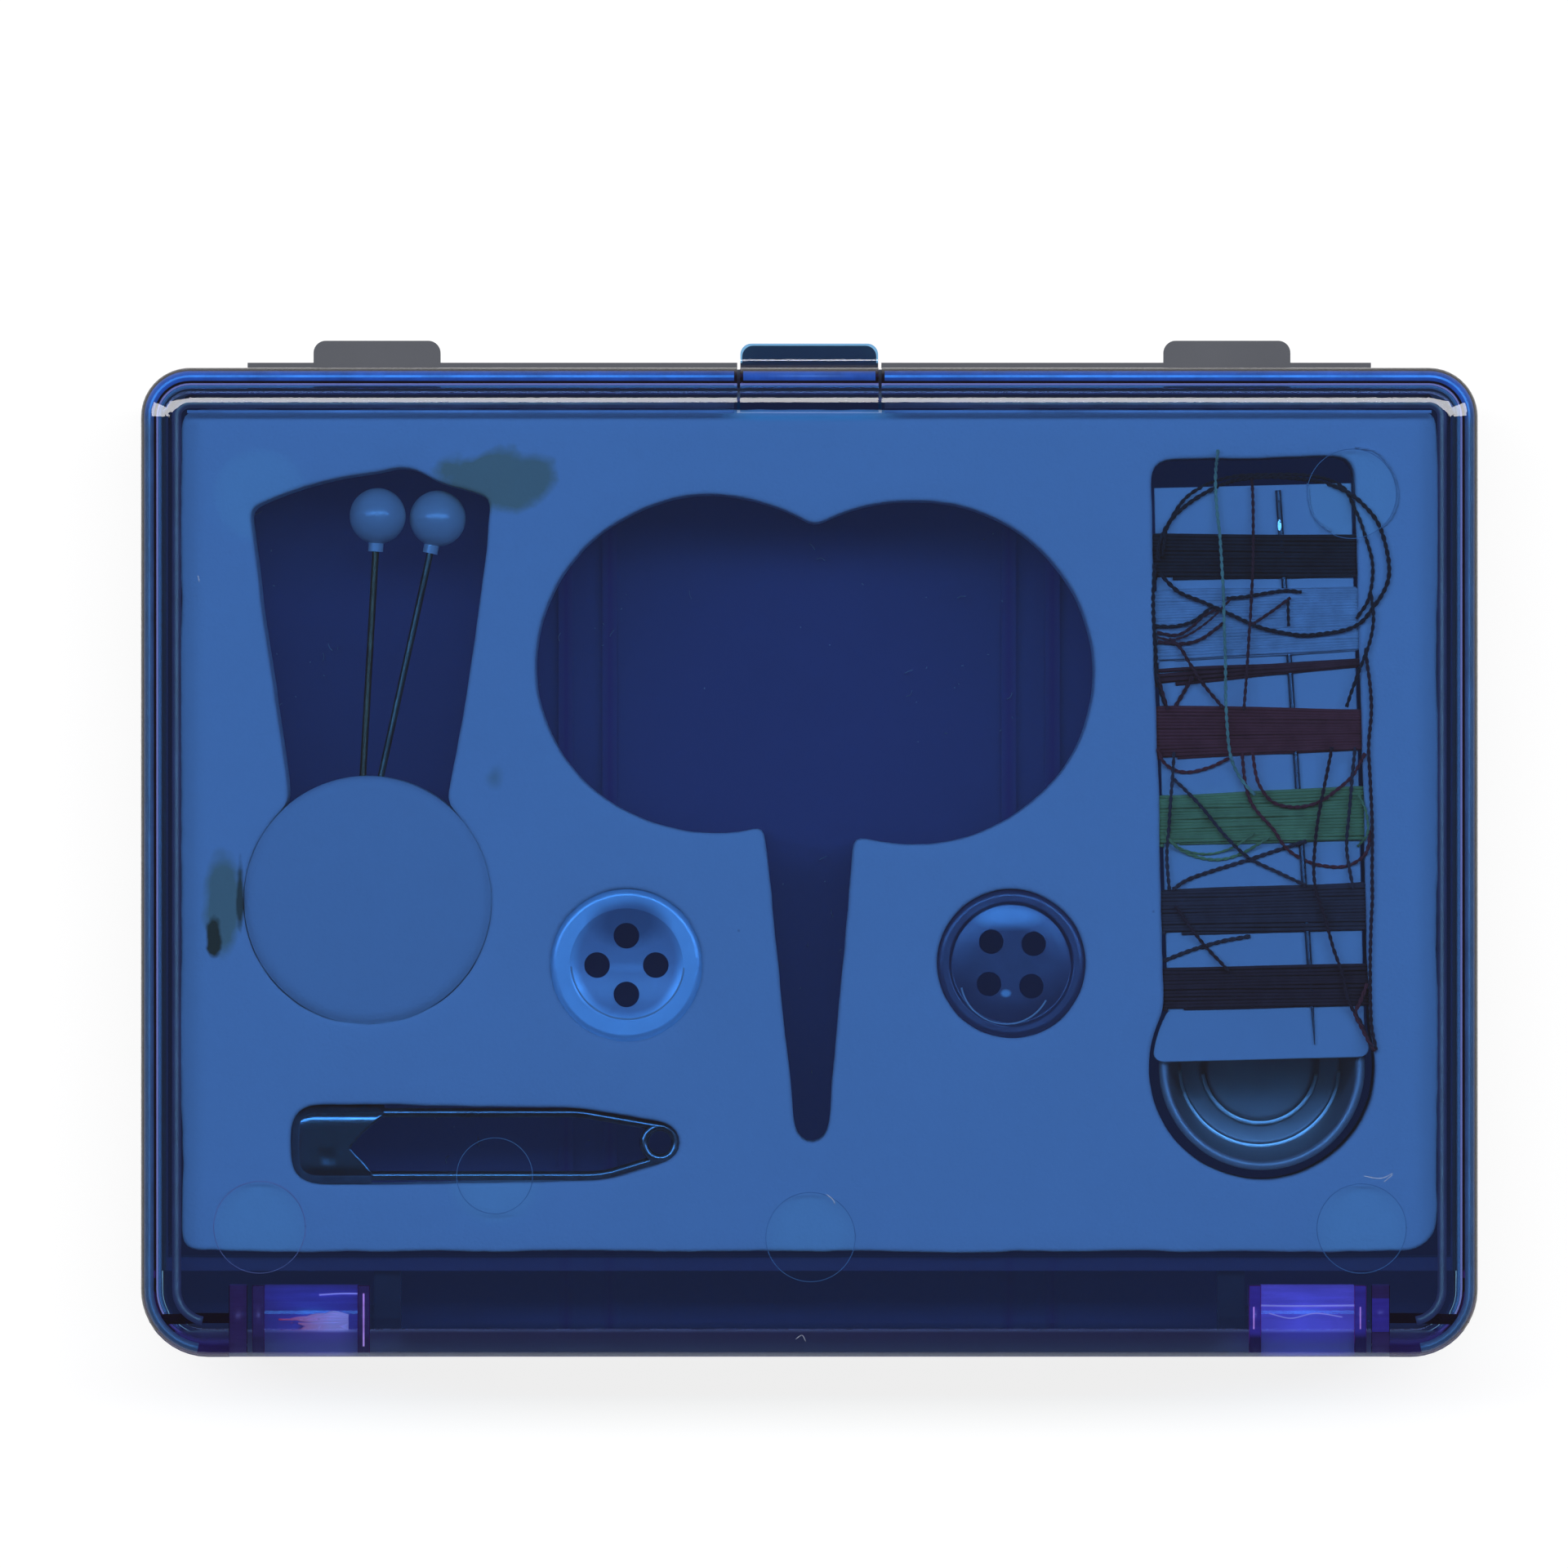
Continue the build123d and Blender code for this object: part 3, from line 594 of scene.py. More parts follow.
# %% Finish: foam
# Each stain is (middle, reach, ragged, edge, colour), in millimetres.
foam_stains = [
    ((-25.6, 31.2), (5.2, 2.7), 0.9, 0.3, (0.64, 0.57, 0.36)),
    ((-22.6, 31.4), (2.2, 2.4), 0.5, 0.4, (0.62, 0.56, 0.36)),
    ((-47.9, -3.2), (1.8, 4.7), 0.6, 0.35, (0.6, 0.56, 0.36)),
    ((-48.7, -6.1), (0.65, 1.7), 1.6, 0.35, (0.13, 0.12, 0.06)),
    ((-46.5, -2.8), (0.35, 3.6), 1.3, 0.5, (0.2, 0.2, 0.12)),
    ((-25.7, 7.0), (0.9, 1.1), 1.2, 1.2, (0.62, 0.62, 0.5)),
]
stain_height, stain_depth = 19.4, 9.0
speck_tone, speck_share = (0.3, 0.3, 0.3), 0.35


def make_foam(name, tone, stains):
    material, tree, shader = start_material(name, (tone, tone, tone), 0.92, Specular_IOR_Level=0.25)
    place = object_place(tree)
    grain = use_group(tree, fine_grain, Place=place, Cloud_Size=11.0, Grain_Size=0.22)
    pale, deep = (tone + 0.02,) * 3, (tone - 0.035, tone - 0.03, tone - 0.03)
    colour = blend_colour(tree, grain.outputs["Clouds"], shade(pale), shade(deep))
    for (x, y), (reach_x, reach_y), ragged, edge, tint in stains:
        middle = (x * MM, y * MM, stain_height * MM)
        reach = (reach_x * MM, reach_y * MM, stain_depth * MM)
        mark = use_group(tree, stain, Place=place, Middle=middle, Reach=reach, Ragged=ragged, Edge=edge)
        colour = blend_colour(tree, mark.outputs["Mask"], colour, shade(tint))
    specks = use_group(tree, dust, Place=place, Spacing=3.1, Speck_Size=0.11, Share=0.16)
    colour = blend_colour(tree, times(tree, specks.outputs["Mask"], speck_share), colour, shade(speck_tone))
    give_tone(tree, shader, colour)
    cells = node(tree, "ShaderNodeTexVoronoi", feature="F1", Scale=3.2 / MM, Vector=place)
    height = maths(tree, "ADD", cells.outputs["Distance"], grain.outputs["Grain"])
    give_bump(tree, shader, height, 0.35, 0.06)
    return material


foam_finish = make_foam("white foam", 0.86, foam_stains)
plug_finish = make_foam("pincushion foam", 0.78, [])
print("finishes:", foam_finish.name, "and", plug_finish.name)

# %% [markdown]
# ## The foam block
#
# A steel-rule die has cut this block: the press rolls the top edge of every pocket down a little,
# and foam never cuts quite straight, so outlines wander by a tenth of a millimetre. A bevel
# modifier would give every edge the same hard look. Here the frame's own outlines are read from
# its top face, stepped round at even spaces, pushed about by a slow noise, and drawn down through
# a rolled edge. The flat top is then filled with small triangles that rise and fall a little.

# %% Outlines of the foam's pockets
def face_outlines(piece, height):
    """Closed outlines of the flat face that a frame piece has at one height, in millimetres."""
    work = bmesh.new()
    work.from_mesh(piece.data)
    bmesh.ops.remove_doubles(work, verts=work.verts, dist=0.001 * MM)
    near = 0.02 * MM
    flat = {f for f in work.faces if all(abs(v.co.z - height * MM) < near for v in f.verts)}
    # An edge that only one face of the flat top has lies on an outline.
    nexts = {}
    for edge in work.edges:
        if len([f for f in edge.link_faces if f in flat]) == 1:
            a, b = edge.verts
            nexts.setdefault(a, []).append(b)
            nexts.setdefault(b, []).append(a)
    outlines = []
    while nexts:
        start = next(iter(nexts))
        ring, before, here = [start], None, start
        while True:
            ahead = [v for v in nexts[here] if v is not before]
            before, here = here, ahead[0]
            if here is start:
                break
            ring.append(here)
        outlines.append([(v.co.x / MM, v.co.y / MM) for v in ring])
        for v in ring:
            del nexts[v]
    work.free()
    return outlines


def even_ring(ring, step):
    """A closed outline as points about one step apart."""
    corners = [Vector(p) for p in ring]
    corners.append(corners[0])
    lengths = [(b - a).length for a, b in zip(corners, corners[1:])]
    total = sum(lengths)
    count = max(8, round(total / step))
    points, k, passed = [], 0, 0.0
    for n in range(count):
        want = total * n / count
        while passed + lengths[k] < want:
            passed += lengths[k]
            k += 1
        points.append(corners[k].lerp(corners[k + 1], (want - passed) / lengths[k]))
    return points


def ring_normals(ring, solid_left):
    """Unit normals of a closed outline, pointing out of the solid."""
    normals = []
    for k, _ in enumerate(ring):
        along = ring[(k + 1) % len(ring)] - ring[k - 1]
        normals.append(Vector((along.y, -along.x)).normalized() * (1 if solid_left else -1))
    return normals


def softened(ring, passes):
    """The ring with its sharp corners eased: each point moves toward its neighbours' middle."""
    for _ in range(passes):
        ring = [(ring[k - 1] + p * 2 + ring[(k + 1) % len(ring)]) / 4 for k, p in enumerate(ring)]
    return ring


def signed_area(ring):
    """The area inside a closed outline, below 0 if it runs clockwise."""
    return sum(a.x * b.y - b.x * a.y for a, b in zip(ring, ring[1:] + ring[:1])) / 2


print("outline helpers ready")

# %% The foam's own outlines
foam_low, foam_high = box_mm("foam_insert")
foam_top = foam_high[2]
foam_length = foam_high[0] - foam_low[0]
ring_step = 0.55
corner_passes = 3
# The cut's wander: how long its waves are and how far they reach, slow ones first.
slow_size, fast_size, fast_share = 6.0, 1.6, 0.35
wander_reach, outer_wander = 0.11, 1.6
foam_rings = []
for outline in face_outlines(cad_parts["foam_insert"], foam_top):
    ring = softened(even_ring(outline, ring_step), corner_passes)
    outer = (max(p.x for p in ring) - min(p.x for p in ring)) > 0.9 * foam_length
    normals = ring_normals(ring, (signed_area(ring) > 0) == outer)
    reach = wander_reach * (outer_wander if outer else 1.0)
    moved = []
    for p, n in zip(ring, normals):
        slow = noise.noise(Vector((p.x / slow_size, p.y / slow_size, 1.7)))
        fast = noise.noise(Vector((p.x / fast_size, p.y / fast_size, 5.1)))
        moved.append(p + n * reach * (slow + fast_share * fast))
    foam_rings.append((moved, normals))
print("foam outlines:", len(foam_rings), "points:", sum(len(r) for r, _ in foam_rings))

# %% Sides and top of the foam block
# How far in and how far down each step of the rolled edge lies, in millimetres.
rolled_edge = [(0.42, 0.0), (0.24, 0.035), (0.1, 0.12), (0.02, 0.28), (0.0, 0.55)]
# The top's rise and fall: the size of its waves and how high they are, broad ones first.
skin_waves = ((17.0, 0.045, 0.3), (3.5, 0.012, 2.9))
grid_step, grid_stagger = 1.5, 0.3


def inside_rings(spots, rings):
    """Which of the spots lie inside an odd number of outlines."""
    a = np.concatenate([np.array(r) for r in rings])
    b = np.concatenate([np.roll(np.array(r), -1, axis=0) for r in rings])
    inside = np.zeros(len(spots), bool)
    for k, (x, y) in enumerate(spots):
        crosses = (a[:, 1] > y) != (b[:, 1] > y)
        (ax, ay), (bx, by) = a[crosses].T, b[crosses].T
        where = ax + (y - ay) / (by - ay) * (bx - ax)
        inside[k] = np.count_nonzero(where > x) % 2 == 1
    return inside


def foam_skin(x, y):
    """How far the foam's top rises or falls at a place."""
    return sum(rise * noise.noise(Vector((x / size, y / size, seed))) for size, rise, seed in skin_waves)


def block_sides():
    """The cut sides of every outline: points, faces, and each outline's first top and bottom point."""
    points, faces, starts = [], [], []
    levels = [(inset, foam_top - down) for inset, down in rolled_edge]
    levels += [(inset, foam_low[2] + down) for inset, down in reversed(rolled_edge)]
    for ring, normals in foam_rings:
        firsts = []
        for inset, height in levels:
            firsts.append(len(points))
            for p, n in zip(ring, normals):
                q = p - n * inset
                lift = foam_skin(q.x, q.y) if height > foam_top - 1 else 0.0
                points.append((q.x, q.y, height + lift))
        for low, high in zip(firsts, firsts[1:]):
            faces.extend(band(low, high, len(ring)))
        starts.append((firsts[0], firsts[-1]))
    return points, faces, starts


def grid_inside(inner):
    """Places on a staggered grid that lie inside the foam and not too near its outlines."""
    spots = []
    for i in range(int(foam_low[0] / grid_step), int(foam_high[0] / grid_step) + 1):
        for j in range(int(foam_low[1] / grid_step), int(foam_high[1] / grid_step) + 1):
            spots.append((i * grid_step + grid_stagger * (j % 2), j * grid_step))
    borders = np.array([tuple(p) for ring in inner for p in ring])
    kept = []
    for spot, within in zip(spots, inside_rings(spots, inner)):
        if within and np.min(np.hypot(*(borders - spot).T)) > 0.5 * grid_step:
            kept.append(Vector(spot))
    return kept


print("the foam's rise at two places (mm):", [round(foam_skin(x, x), 3) for x in (5.0, 30.0)])

# %% The foam block itself
def make_foam_block():
    points, faces, starts = block_sides()
    inner = [[p - n * rolled_edge[0][0] for p, n in zip(ring, normals)] for ring, normals in foam_rings]
    # Each place of the flat faces has a pair of points: one on the top and one on the bottom.
    pairs, edges = [], []
    for ring, (top, bottom) in zip(inner, starts):
        first, count = len(pairs), len(ring)
        pairs.extend((top + k, bottom + k) for k in range(count))
        edges.extend((first + k, first + (k + 1) % count) for k in range(count))

    def new_pair(x, y):
        points.append((x, y, foam_top + foam_skin(x, y)))
        points.append((x, y, foam_low[2]))
        return len(points) - 2, len(points) - 1

    spots = grid_inside(inner)
    pairs.extend(new_pair(spot.x, spot.y) for spot in spots)
    places = [Vector(p) for ring in inner for p in ring] + spots
    places, _, triangles, origins, _, _ = delaunay_2d_cdt(places, edges, [], 0, 1e-5)
    # A place with no origin is where two outlines cross, so it gets a pair of its own.
    found = [pairs[o[0]] if o else new_pair(place.x, place.y) for place, o in zip(places, origins)]
    middles = [tuple(sum((places[n] for n in t), Vector((0, 0))) / 3) for t in triangles]
    for t, keep in zip(triangles, inside_rings(middles, inner)):
        if keep:
            faces.append(tuple(found[n][0] for n in t))
            faces.append(tuple(found[n][1] for n in reversed(t)))
    block = new_piece("foam_block", points, faces, foam_finish, TRAY, "white_foam")
    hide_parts("foam_insert")
    return block


foam_block = make_foam_block()
print("foam block faces:", len(foam_block.data.polygons))

# %% [markdown]
# ## The pincushion
#
# The plug that the die punched out was pushed back as a pincushion. Handling has rounded its edge
# far more than the pockets' edges, and it stands a little proud and crowned, so it is turned from
# a half profile with a round shoulder.

# %% Pincushion
plug_low, plug_high = box_mm("pincushion")
plug_top = plug_high[2]
plug_radius = (plug_high[0] - plug_low[0]) / 2 - 0.1
plug_shoulder, plug_crown, plug_foot = 1.15, 0.22, 0.4
plug_flat = plug_radius - plug_shoulder
# The waves of its skin: how far they reach and how long they are, sideways and upward.
push_reach, push_size, rise_reach, rise_size = 0.05, 4.0, 0.02, 2.5
steps = 8
profile = [(0.0, plug_top)]
for k in range(1, steps + 1):
    share = k / steps
    profile.append((plug_flat * share, plug_top - plug_crown * share**2))
for k in range(1, steps + 1):
    turn = pi / 2 * k / steps
    down = plug_crown + 0.8 * plug_shoulder * (1 - cos(turn))
    profile.append((plug_flat + plug_shoulder * sin(turn), plug_top - down))
profile += [(plug_radius, plug_low[2] + plug_foot), (plug_radius - plug_foot, plug_low[2])]
profile.append((0.0, plug_low[2]))


def uneven(x, y, z):
    """A point of the plug's skin, pushed about a little as cut foam is."""
    push_x = push_reach * noise.noise(Vector((x / push_size, y / push_size, z)))
    push_y = push_reach * noise.noise(Vector((x / push_size, z, y / push_size)))
    rise = rise_reach * noise.noise(Vector((x / rise_size, y / rise_size, 4.4)))
    return x + push_x, y + push_y, z + rise


points, faces = lathe(profile, middle_of(plug_low, plug_high), 128)
points = [uneven(*point) for point in points]
pincushion = new_piece("pincushion_plug", points, faces, plug_finish, TRAY, "white_foam")
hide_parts("pincushion")
print("pincushion radius (mm):", round(plug_radius, 2))

# %% [markdown]
# ## Finishes: steel
#
# Needle, pins and safety pin are drawn steel wire, nickel plated and gone dull. A mirror would
# look black here, since the room above is dark, with a hard white line where the lamp shows. A
# fairly smooth metal with a film of tarnish keeps both: dark body, bright line. The streaks follow
# the length of the wire, so each piece gives its own stretch to the shared drawn-metal group.

# %% Finish: drawn steel
def make_steel(name, bright, dull, smooth, rough, stretch):
    """Steel whose tone and roughness go from bright and smooth to dull and rough with its film."""
    material, tree, shader = start_material(name, bright, smooth, Metallic=1.0)
    marks = use_group(tree, drawn_metal, Place=object_place(tree), Stretch=stretch)
    film = maths(tree, "MULTIPLY", marks.outputs["Film"], 1.4, clamp=True)
    give_tone(tree, shader, blend_colour(tree, film, shade(bright), shade(dull)))
    spread = maths(tree, "ADD", smooth, times(tree, marks.outputs["Film"], rough - smooth))
    tree.links.new(spread, shader.inputs["Roughness"])
    give_bump(tree, shader, marks.outputs["Streaks"], 0.12, 0.02)
    return material


along_x, along_y = (0.4, 6.0, 6.0), (6.0, 0.4, 6.0)
pin_steel = make_steel("safety pin steel", (0.46, 0.47, 0.46), (0.16, 0.18, 0.19), 0.12, 0.34, along_x)
clasp_steel = make_steel("clasp plate", (0.42, 0.46, 0.48), (0.17, 0.21, 0.23), 0.1, 0.2, along_x)
needle_steel = make_steel("needle steel", (0.3, 0.31, 0.33), (0.1, 0.11, 0.12), 0.2, 0.38, along_y)
shaft_steel = make_steel("bright pin steel", (0.2, 0.2, 0.15), (0.08, 0.09, 0.07), 0.24, 0.45, along_y)
# The eye's flat takes a far paler copy of the steel, so its glint is partly a painted highlight.
eye_glint_steel = make_steel("needle eye glint steel", (0.95, 0.9, 0.84), (0.7, 0.66, 0.6), 0.2, 0.3, along_y)
# The left shaft takes a darker, browner copy of the steel as painted shade, since it catches less of the
# lamp.
shaded_pin_steel = make_steel("pin steel painted darker", (0.2, 0.15, 0.08), (0.1, 0.075, 0.045), 0.3, 0.5, along_y)
for name, material in (
    ("safety_pin_wire", pin_steel),
    ("needle", needle_steel),
    ("pin_shaft_left", shaded_pin_steel),
    ("pin_shaft_right", shaft_steel),
):
    finish_node(name, material)


def make_eye_flat():
    """The flat by the needle's eye, tipped to the light: a thin oval plate, painted pale as a glint."""
    centre, half_long, half_wide, tip = (38.42, 27.55), 0.46, 0.15, radians(7)
    proud, thickness, count = 0.02, 0.12, 16
    top = box_mm("needle")[1][2] + proud
    points = []
    for k in range(count):
        turn = 2 * pi * k / count
        x, y = half_wide * cos(turn), half_long * sin(turn)
        points.append((centre[0] + x, centre[1] + y * cos(tip), top - y * sin(tip)))
    points += [(x, y, z - thickness) for x, y, z in points]
    faces = [tuple(range(count)), tuple(range(2 * count - 1, count - 1, -1)), *band(0, count, count)]
    return new_piece("needle_eye_flat", points, faces, eye_glint_steel, TRAY, "bright_steel", smooth=False)


make_eye_flat()
print("steel finishes given")

# %% [markdown]
# ## The clasp of the safety pin
#
# The clasp is one piece of thin plate, folded round the wires. Its long edges are half-round rolls,
# and its mouth is nicked on the front so that a fingertip can free the point. The plate is drawn
# as a flattened tube: each point of the section runs from the closed end to its own place on the
# mouth's outline, and the closed end is pinched in. A solidify modifier gives the plate its
# thickness.

# %% Sizes of the clasp plate
clasp_low, clasp_high = box_mm("safety_pin_clasp")
clasp_middle = middle_of(clasp_low, clasp_high)
clasp_length, clasp_half = clasp_high[0] - clasp_low[0], (clasp_high[1] - clasp_low[1]) / 2
clasp_roll = (clasp_high[2] - clasp_low[2]) / 2
clasp_end_round = 2.0
clasp_pinched = 0.15
clasp_columns, clasp_crowding = 36, 1.4
plate_thickness = 0.22
dimple_depth, dimple_place, dimple_size = 0.05, (3.0, -1.0), 0.5
# The mouth's outline, as how far short of the clasp's full length it is at each height.
mouth_front = [(-3.3, 1.2), (-2.4, 1.1), (-1.5, 1.7), (-0.3, 3.0), (0.9, 1.9), (2.4, 0.2), (3.3, 0.1)]
mouth_back = [(-3.3, 1.6), (-2.4, 1.5), (-0.3, 3.2), (2.4, 0.6), (3.3, 0.3)]


print("clasp length (mm):", round(clasp_length, 2))

# %% Clasp plate
def along_table(table, value):
    """The value of a table of (place, value) pairs between its places."""
    for (a, low), (b, high) in zip(table, table[1:]):
        if value <= b:
            return low + (high - low) * max(0.0, (value - a) / (b - a))
    return table[-1][1]


def clasp_section():
    """The folded plate's section: two half-round rolls, joined by the flat front and back."""
    straight = clasp_half - clasp_roll
    section = []
    for start, sign in ((straight, 1), (-straight, -1)):
        for k in range(13):
            turn = pi / 2 - pi * k / 12
            section.append((start + sign * clasp_roll * cos(turn), sign * clasp_roll * sin(turn)))
        for k in range(1, 10):
            section.append((start - 2 * start * k / 10, -sign * clasp_roll))
    return section


def clasp_point(y, z, share):
    """Where a point of the section lies, at a share of the way from the closed end to the mouth."""
    short = along_table(mouth_front if z > 0.2 * clasp_roll else mouth_back, y)
    x = (clasp_length - short) * share
    pinch = min(1.0, x / clasp_end_round)
    close = (1 - (1 - pinch) ** 2) ** 0.5
    plan = 1 - clasp_end_round / clasp_half * (1 - close)
    off = (x - dimple_place[0]) ** 2 + (y - dimple_place[1]) ** 2
    dimple = dimple_depth * max(0.0, 1 - off / dimple_size) if z > 0 else 0.0
    high = z * (clasp_pinched + (1 - clasp_pinched) * close) - dimple
    return clasp_low[0] + x, clasp_middle[1] + y * plan, clasp_middle[2] + high


def make_clasp():
    section = clasp_section()
    count = len(section)
    points, faces = [], []
    for i in range(clasp_columns + 1):
        share = (i / clasp_columns) ** clasp_crowding
        points.extend(clasp_point(y, z, share) for y, z in section)
    for i in range(clasp_columns):
        faces.extend(band(i * count, (i + 1) * count, count))
    faces.append(tuple(range(count)))
    clasp = new_piece("clasp_plate", points, faces, clasp_steel, TRAY, "bright_steel")
    shell = clasp.modifiers.new("plate thickness", "SOLIDIFY")
    shell.thickness = plate_thickness * MM
    shell.offset = -1
    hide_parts("safety_pin_clasp")
    return clasp


clasp_plate = make_clasp()
print("clasp plate faces:", len(clasp_plate.data.polygons))

# %% [markdown]
# ## The thimble
#
# The thimble stands mouth up in its well. It is spun from thin sheet, so the profile has a rolled
# bead at the mouth, a slightly tapering wall, a round inner corner and a step in its crown. Its
# outside has rows of small dimples. Each round of the inside catches the lamp as a bright ring,
# and the two that catch it best, the wall's foot and the crown's step, are low ridges in a far paler
# nickel than the shell: the lamp lights them, and their pale tone is a painted highlight on top.

# %% Finish: dull nickel
def make_thimble_metal():
    material, tree, shader = start_material("dull nickel", (0.46, 0.4, 0.36), 0.4, Metallic=0.3)
    marks = use_group(tree, drawn_metal, Place=object_place(tree), Stretch=(1.0, 1.0, 0.3))
    film = marks.outputs["Film"]
    give_tone(tree, shader, blend_colour(tree, film, shade((0.42, 0.37, 0.35)), shade((0.6, 0.52, 0.48))))
    tree.links.new(maths(tree, "ADD", 0.34, times(tree, film, 0.15)), shader.inputs["Roughness"])
    give_bump(tree, shader, marks.outputs["Streaks"], 0.1, 0.03)
    return material


thimble_finish = make_thimble_metal()
print("finish:", thimble_finish.name)

# %% Thimble
thimble_low, thimble_high = box_mm("thimble")
thimble_centre = middle_of(thimble_low, thimble_high)
thimble_bead = 0.4
thimble_wall = 0.4
thimble_mouth = (thimble_high[0] - thimble_low[0]) / 2 - thimble_bead
thimble_taper = 0.95
thimble_foot = thimble_mouth - thimble_taper
outer_corner, inner_corner = 0.9, 0.55
crown_step, crown_rise = 4.7, 0.5
wall_rows = 30
dimple_band, dimples_round, dimple_pitch, dimple_dent = (0.12, 0.72), 32, 0.8, 0.06


def thimble_profile():
    low, rim = thimble_low[2], thimble_high[2]
    floor = low + thimble_wall
    inner_foot = thimble_foot - thimble_wall
    profile = [(0.0, low + crown_rise), (crown_step - 0.7, low + crown_rise)]
    profile += [(crown_step - 0.3, low + 0.3), (crown_step, low)]
    profile += arc((thimble_foot - outer_corner, low + outer_corner), outer_corner, -90, 0, 8)
    for k in range(1, wall_rows):
        share = k / wall_rows
        height = low + outer_corner + (rim - low - 2 * outer_corner) * share
        profile.append((thimble_foot + thimble_taper * share, height))
    profile += arc((thimble_mouth, rim - thimble_bead), thimble_bead, -60, 190, 12)
    profile += arc((inner_foot - inner_corner, floor + inner_corner), inner_corner, 0, -90, 8)
    for out, up in ((0.35, 0.0), (0.12, 0.05), (-0.12, 0.25), (-0.35, 0.46), (-0.6, crown_rise)):
        profile.append((crown_step + out, floor + up))
    return profile + [(0.0, floor + crown_rise)]


def dimpled(point):
    """Pushes a point on the thimble's outer wall into the nearest dimple."""
    x, y, z = point
    dx, dy, up = x - thimble_centre[0], y - thimble_centre[1], z - thimble_low[2]
    radius = (dx**2 + dy**2) ** 0.5
    rise = up / (thimble_high[2] - thimble_low[2])
    outer = thimble_foot + thimble_taper * rise
    if not dimple_band[0] < rise < dimple_band[1] or abs(radius - outer) > 0.15:
        return point
    around = max(0.0, cos(np.arctan2(dy, dx) * dimples_round))
    dent = dimple_dent * around * max(0.0, cos(up * pi / dimple_pitch))
    return (x - dx / radius * dent, y - dy / radius * dent, z)


points, faces = lathe(thimble_profile(), thimble_centre, 192)
points = [dimpled(point) for point in points]
thimble = new_piece("thimble_shell", points, faces, thimble_finish, TRAY, "thimble_metal")
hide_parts("thimble")
print("thimble mouth radius (mm):", round(thimble_mouth, 2))

# %% The thimble's ridges, painted pale as highlights
thimble_floor = thimble_low[2] + thimble_wall
ridge_flatness = 0.2


def ridge(radius, lift, start, end, half_width):
    """A low flat ridge round the thimble's inside, part of the way round: points and faces."""
    height = thimble_floor + lift
    line = [Vector((x, y, height)) for x, y in arc(thimble_centre, radius, start, end, (end - start) // 3)]
    points, faces = tube(line, half_width, 10)
    return [(x, y, height + (z - height) * ridge_flatness) for x, y, z in points], faces


# The ridges' nickel is far paler than the shell's: a painted highlight for the two bright rings.
pale_ridge_nickel = make_steel("ridge nickel painted pale", (0.92, 0.88, 0.8), (0.7, 0.67, 0.62), 0.34, 0.42, (1.2, 1.2, 1.2))
spun_ridges = join([ridge(6.6, 0.5, 183, 357, 0.2), ridge(4.7, 0.54, 187, 352, 0.19)])
rings = new_piece("thimble_rings", *spun_ridges, pale_ridge_nickel, TRAY, "thimble_metal")
print("ridge faces:", len(rings.data.polygons))

# %% [markdown]
# ## Finishes: pearl balls and buttons
#
# The pins' heads are glass balls with a pearly coat: a pale body under a smooth clear layer. The
# left button is pearl-white polyester, whose flakes throw light back broadly, so it has a little
# metal in it. The right one is the same stuff in slate grey. Both are cut from sheet in which the
# pearl lies in drifts, which a slow noise gives. Patches of painted light and shade lie on their
# faces too, made with the stain group: on the slate button a pale crescent over its top and a
# small glint between its lower holes, both painted highlights; on the pearl button a darker dish,
# painted shade at the dish's top and bottom, and a pale band between the holes as a painted highlight.

# %% Finish: pearl
# Each patch of painted light or shade is (off the middle, reach, ragged, edge, strength, colour, keeps its
# pearl), in millimetres.
pearl_light_and_shade = [
    ((0.1, 0.4), (4.45, 4.9), 0.04, 0.14, 1.0, (0.5, 0.56, 0.66), 0.0),
    ((0.1, 3.5), (3.7, 2.3), 0.3, 0.5, 0.85, (0.2, 0.25, 0.33), 0.0),
    ((-0.6, -2.6), (3.8, 1.6), 0.3, 0.9, 0.6, (0.3, 0.35, 0.44), 0.0),
    ((0.2, -0.2), (4.4, 0.5), 0.25, 0.7, 0.6, (0.66, 0.8, 0.9), 0.5),
]
# The slate button's pale crescent over its top and small glint below are painted highlights.
slate_highlights = [
    ((-0.3, 3.9), (3.4, 1.25), 0.2, 0.6, 0.5, (0.42, 0.55, 0.66), 1.0),
    ((-0.45, -2.4), (0.5, 0.38), 0.2, 0.5, 0.9, (0.5, 0.66, 0.72), 1.0),
]


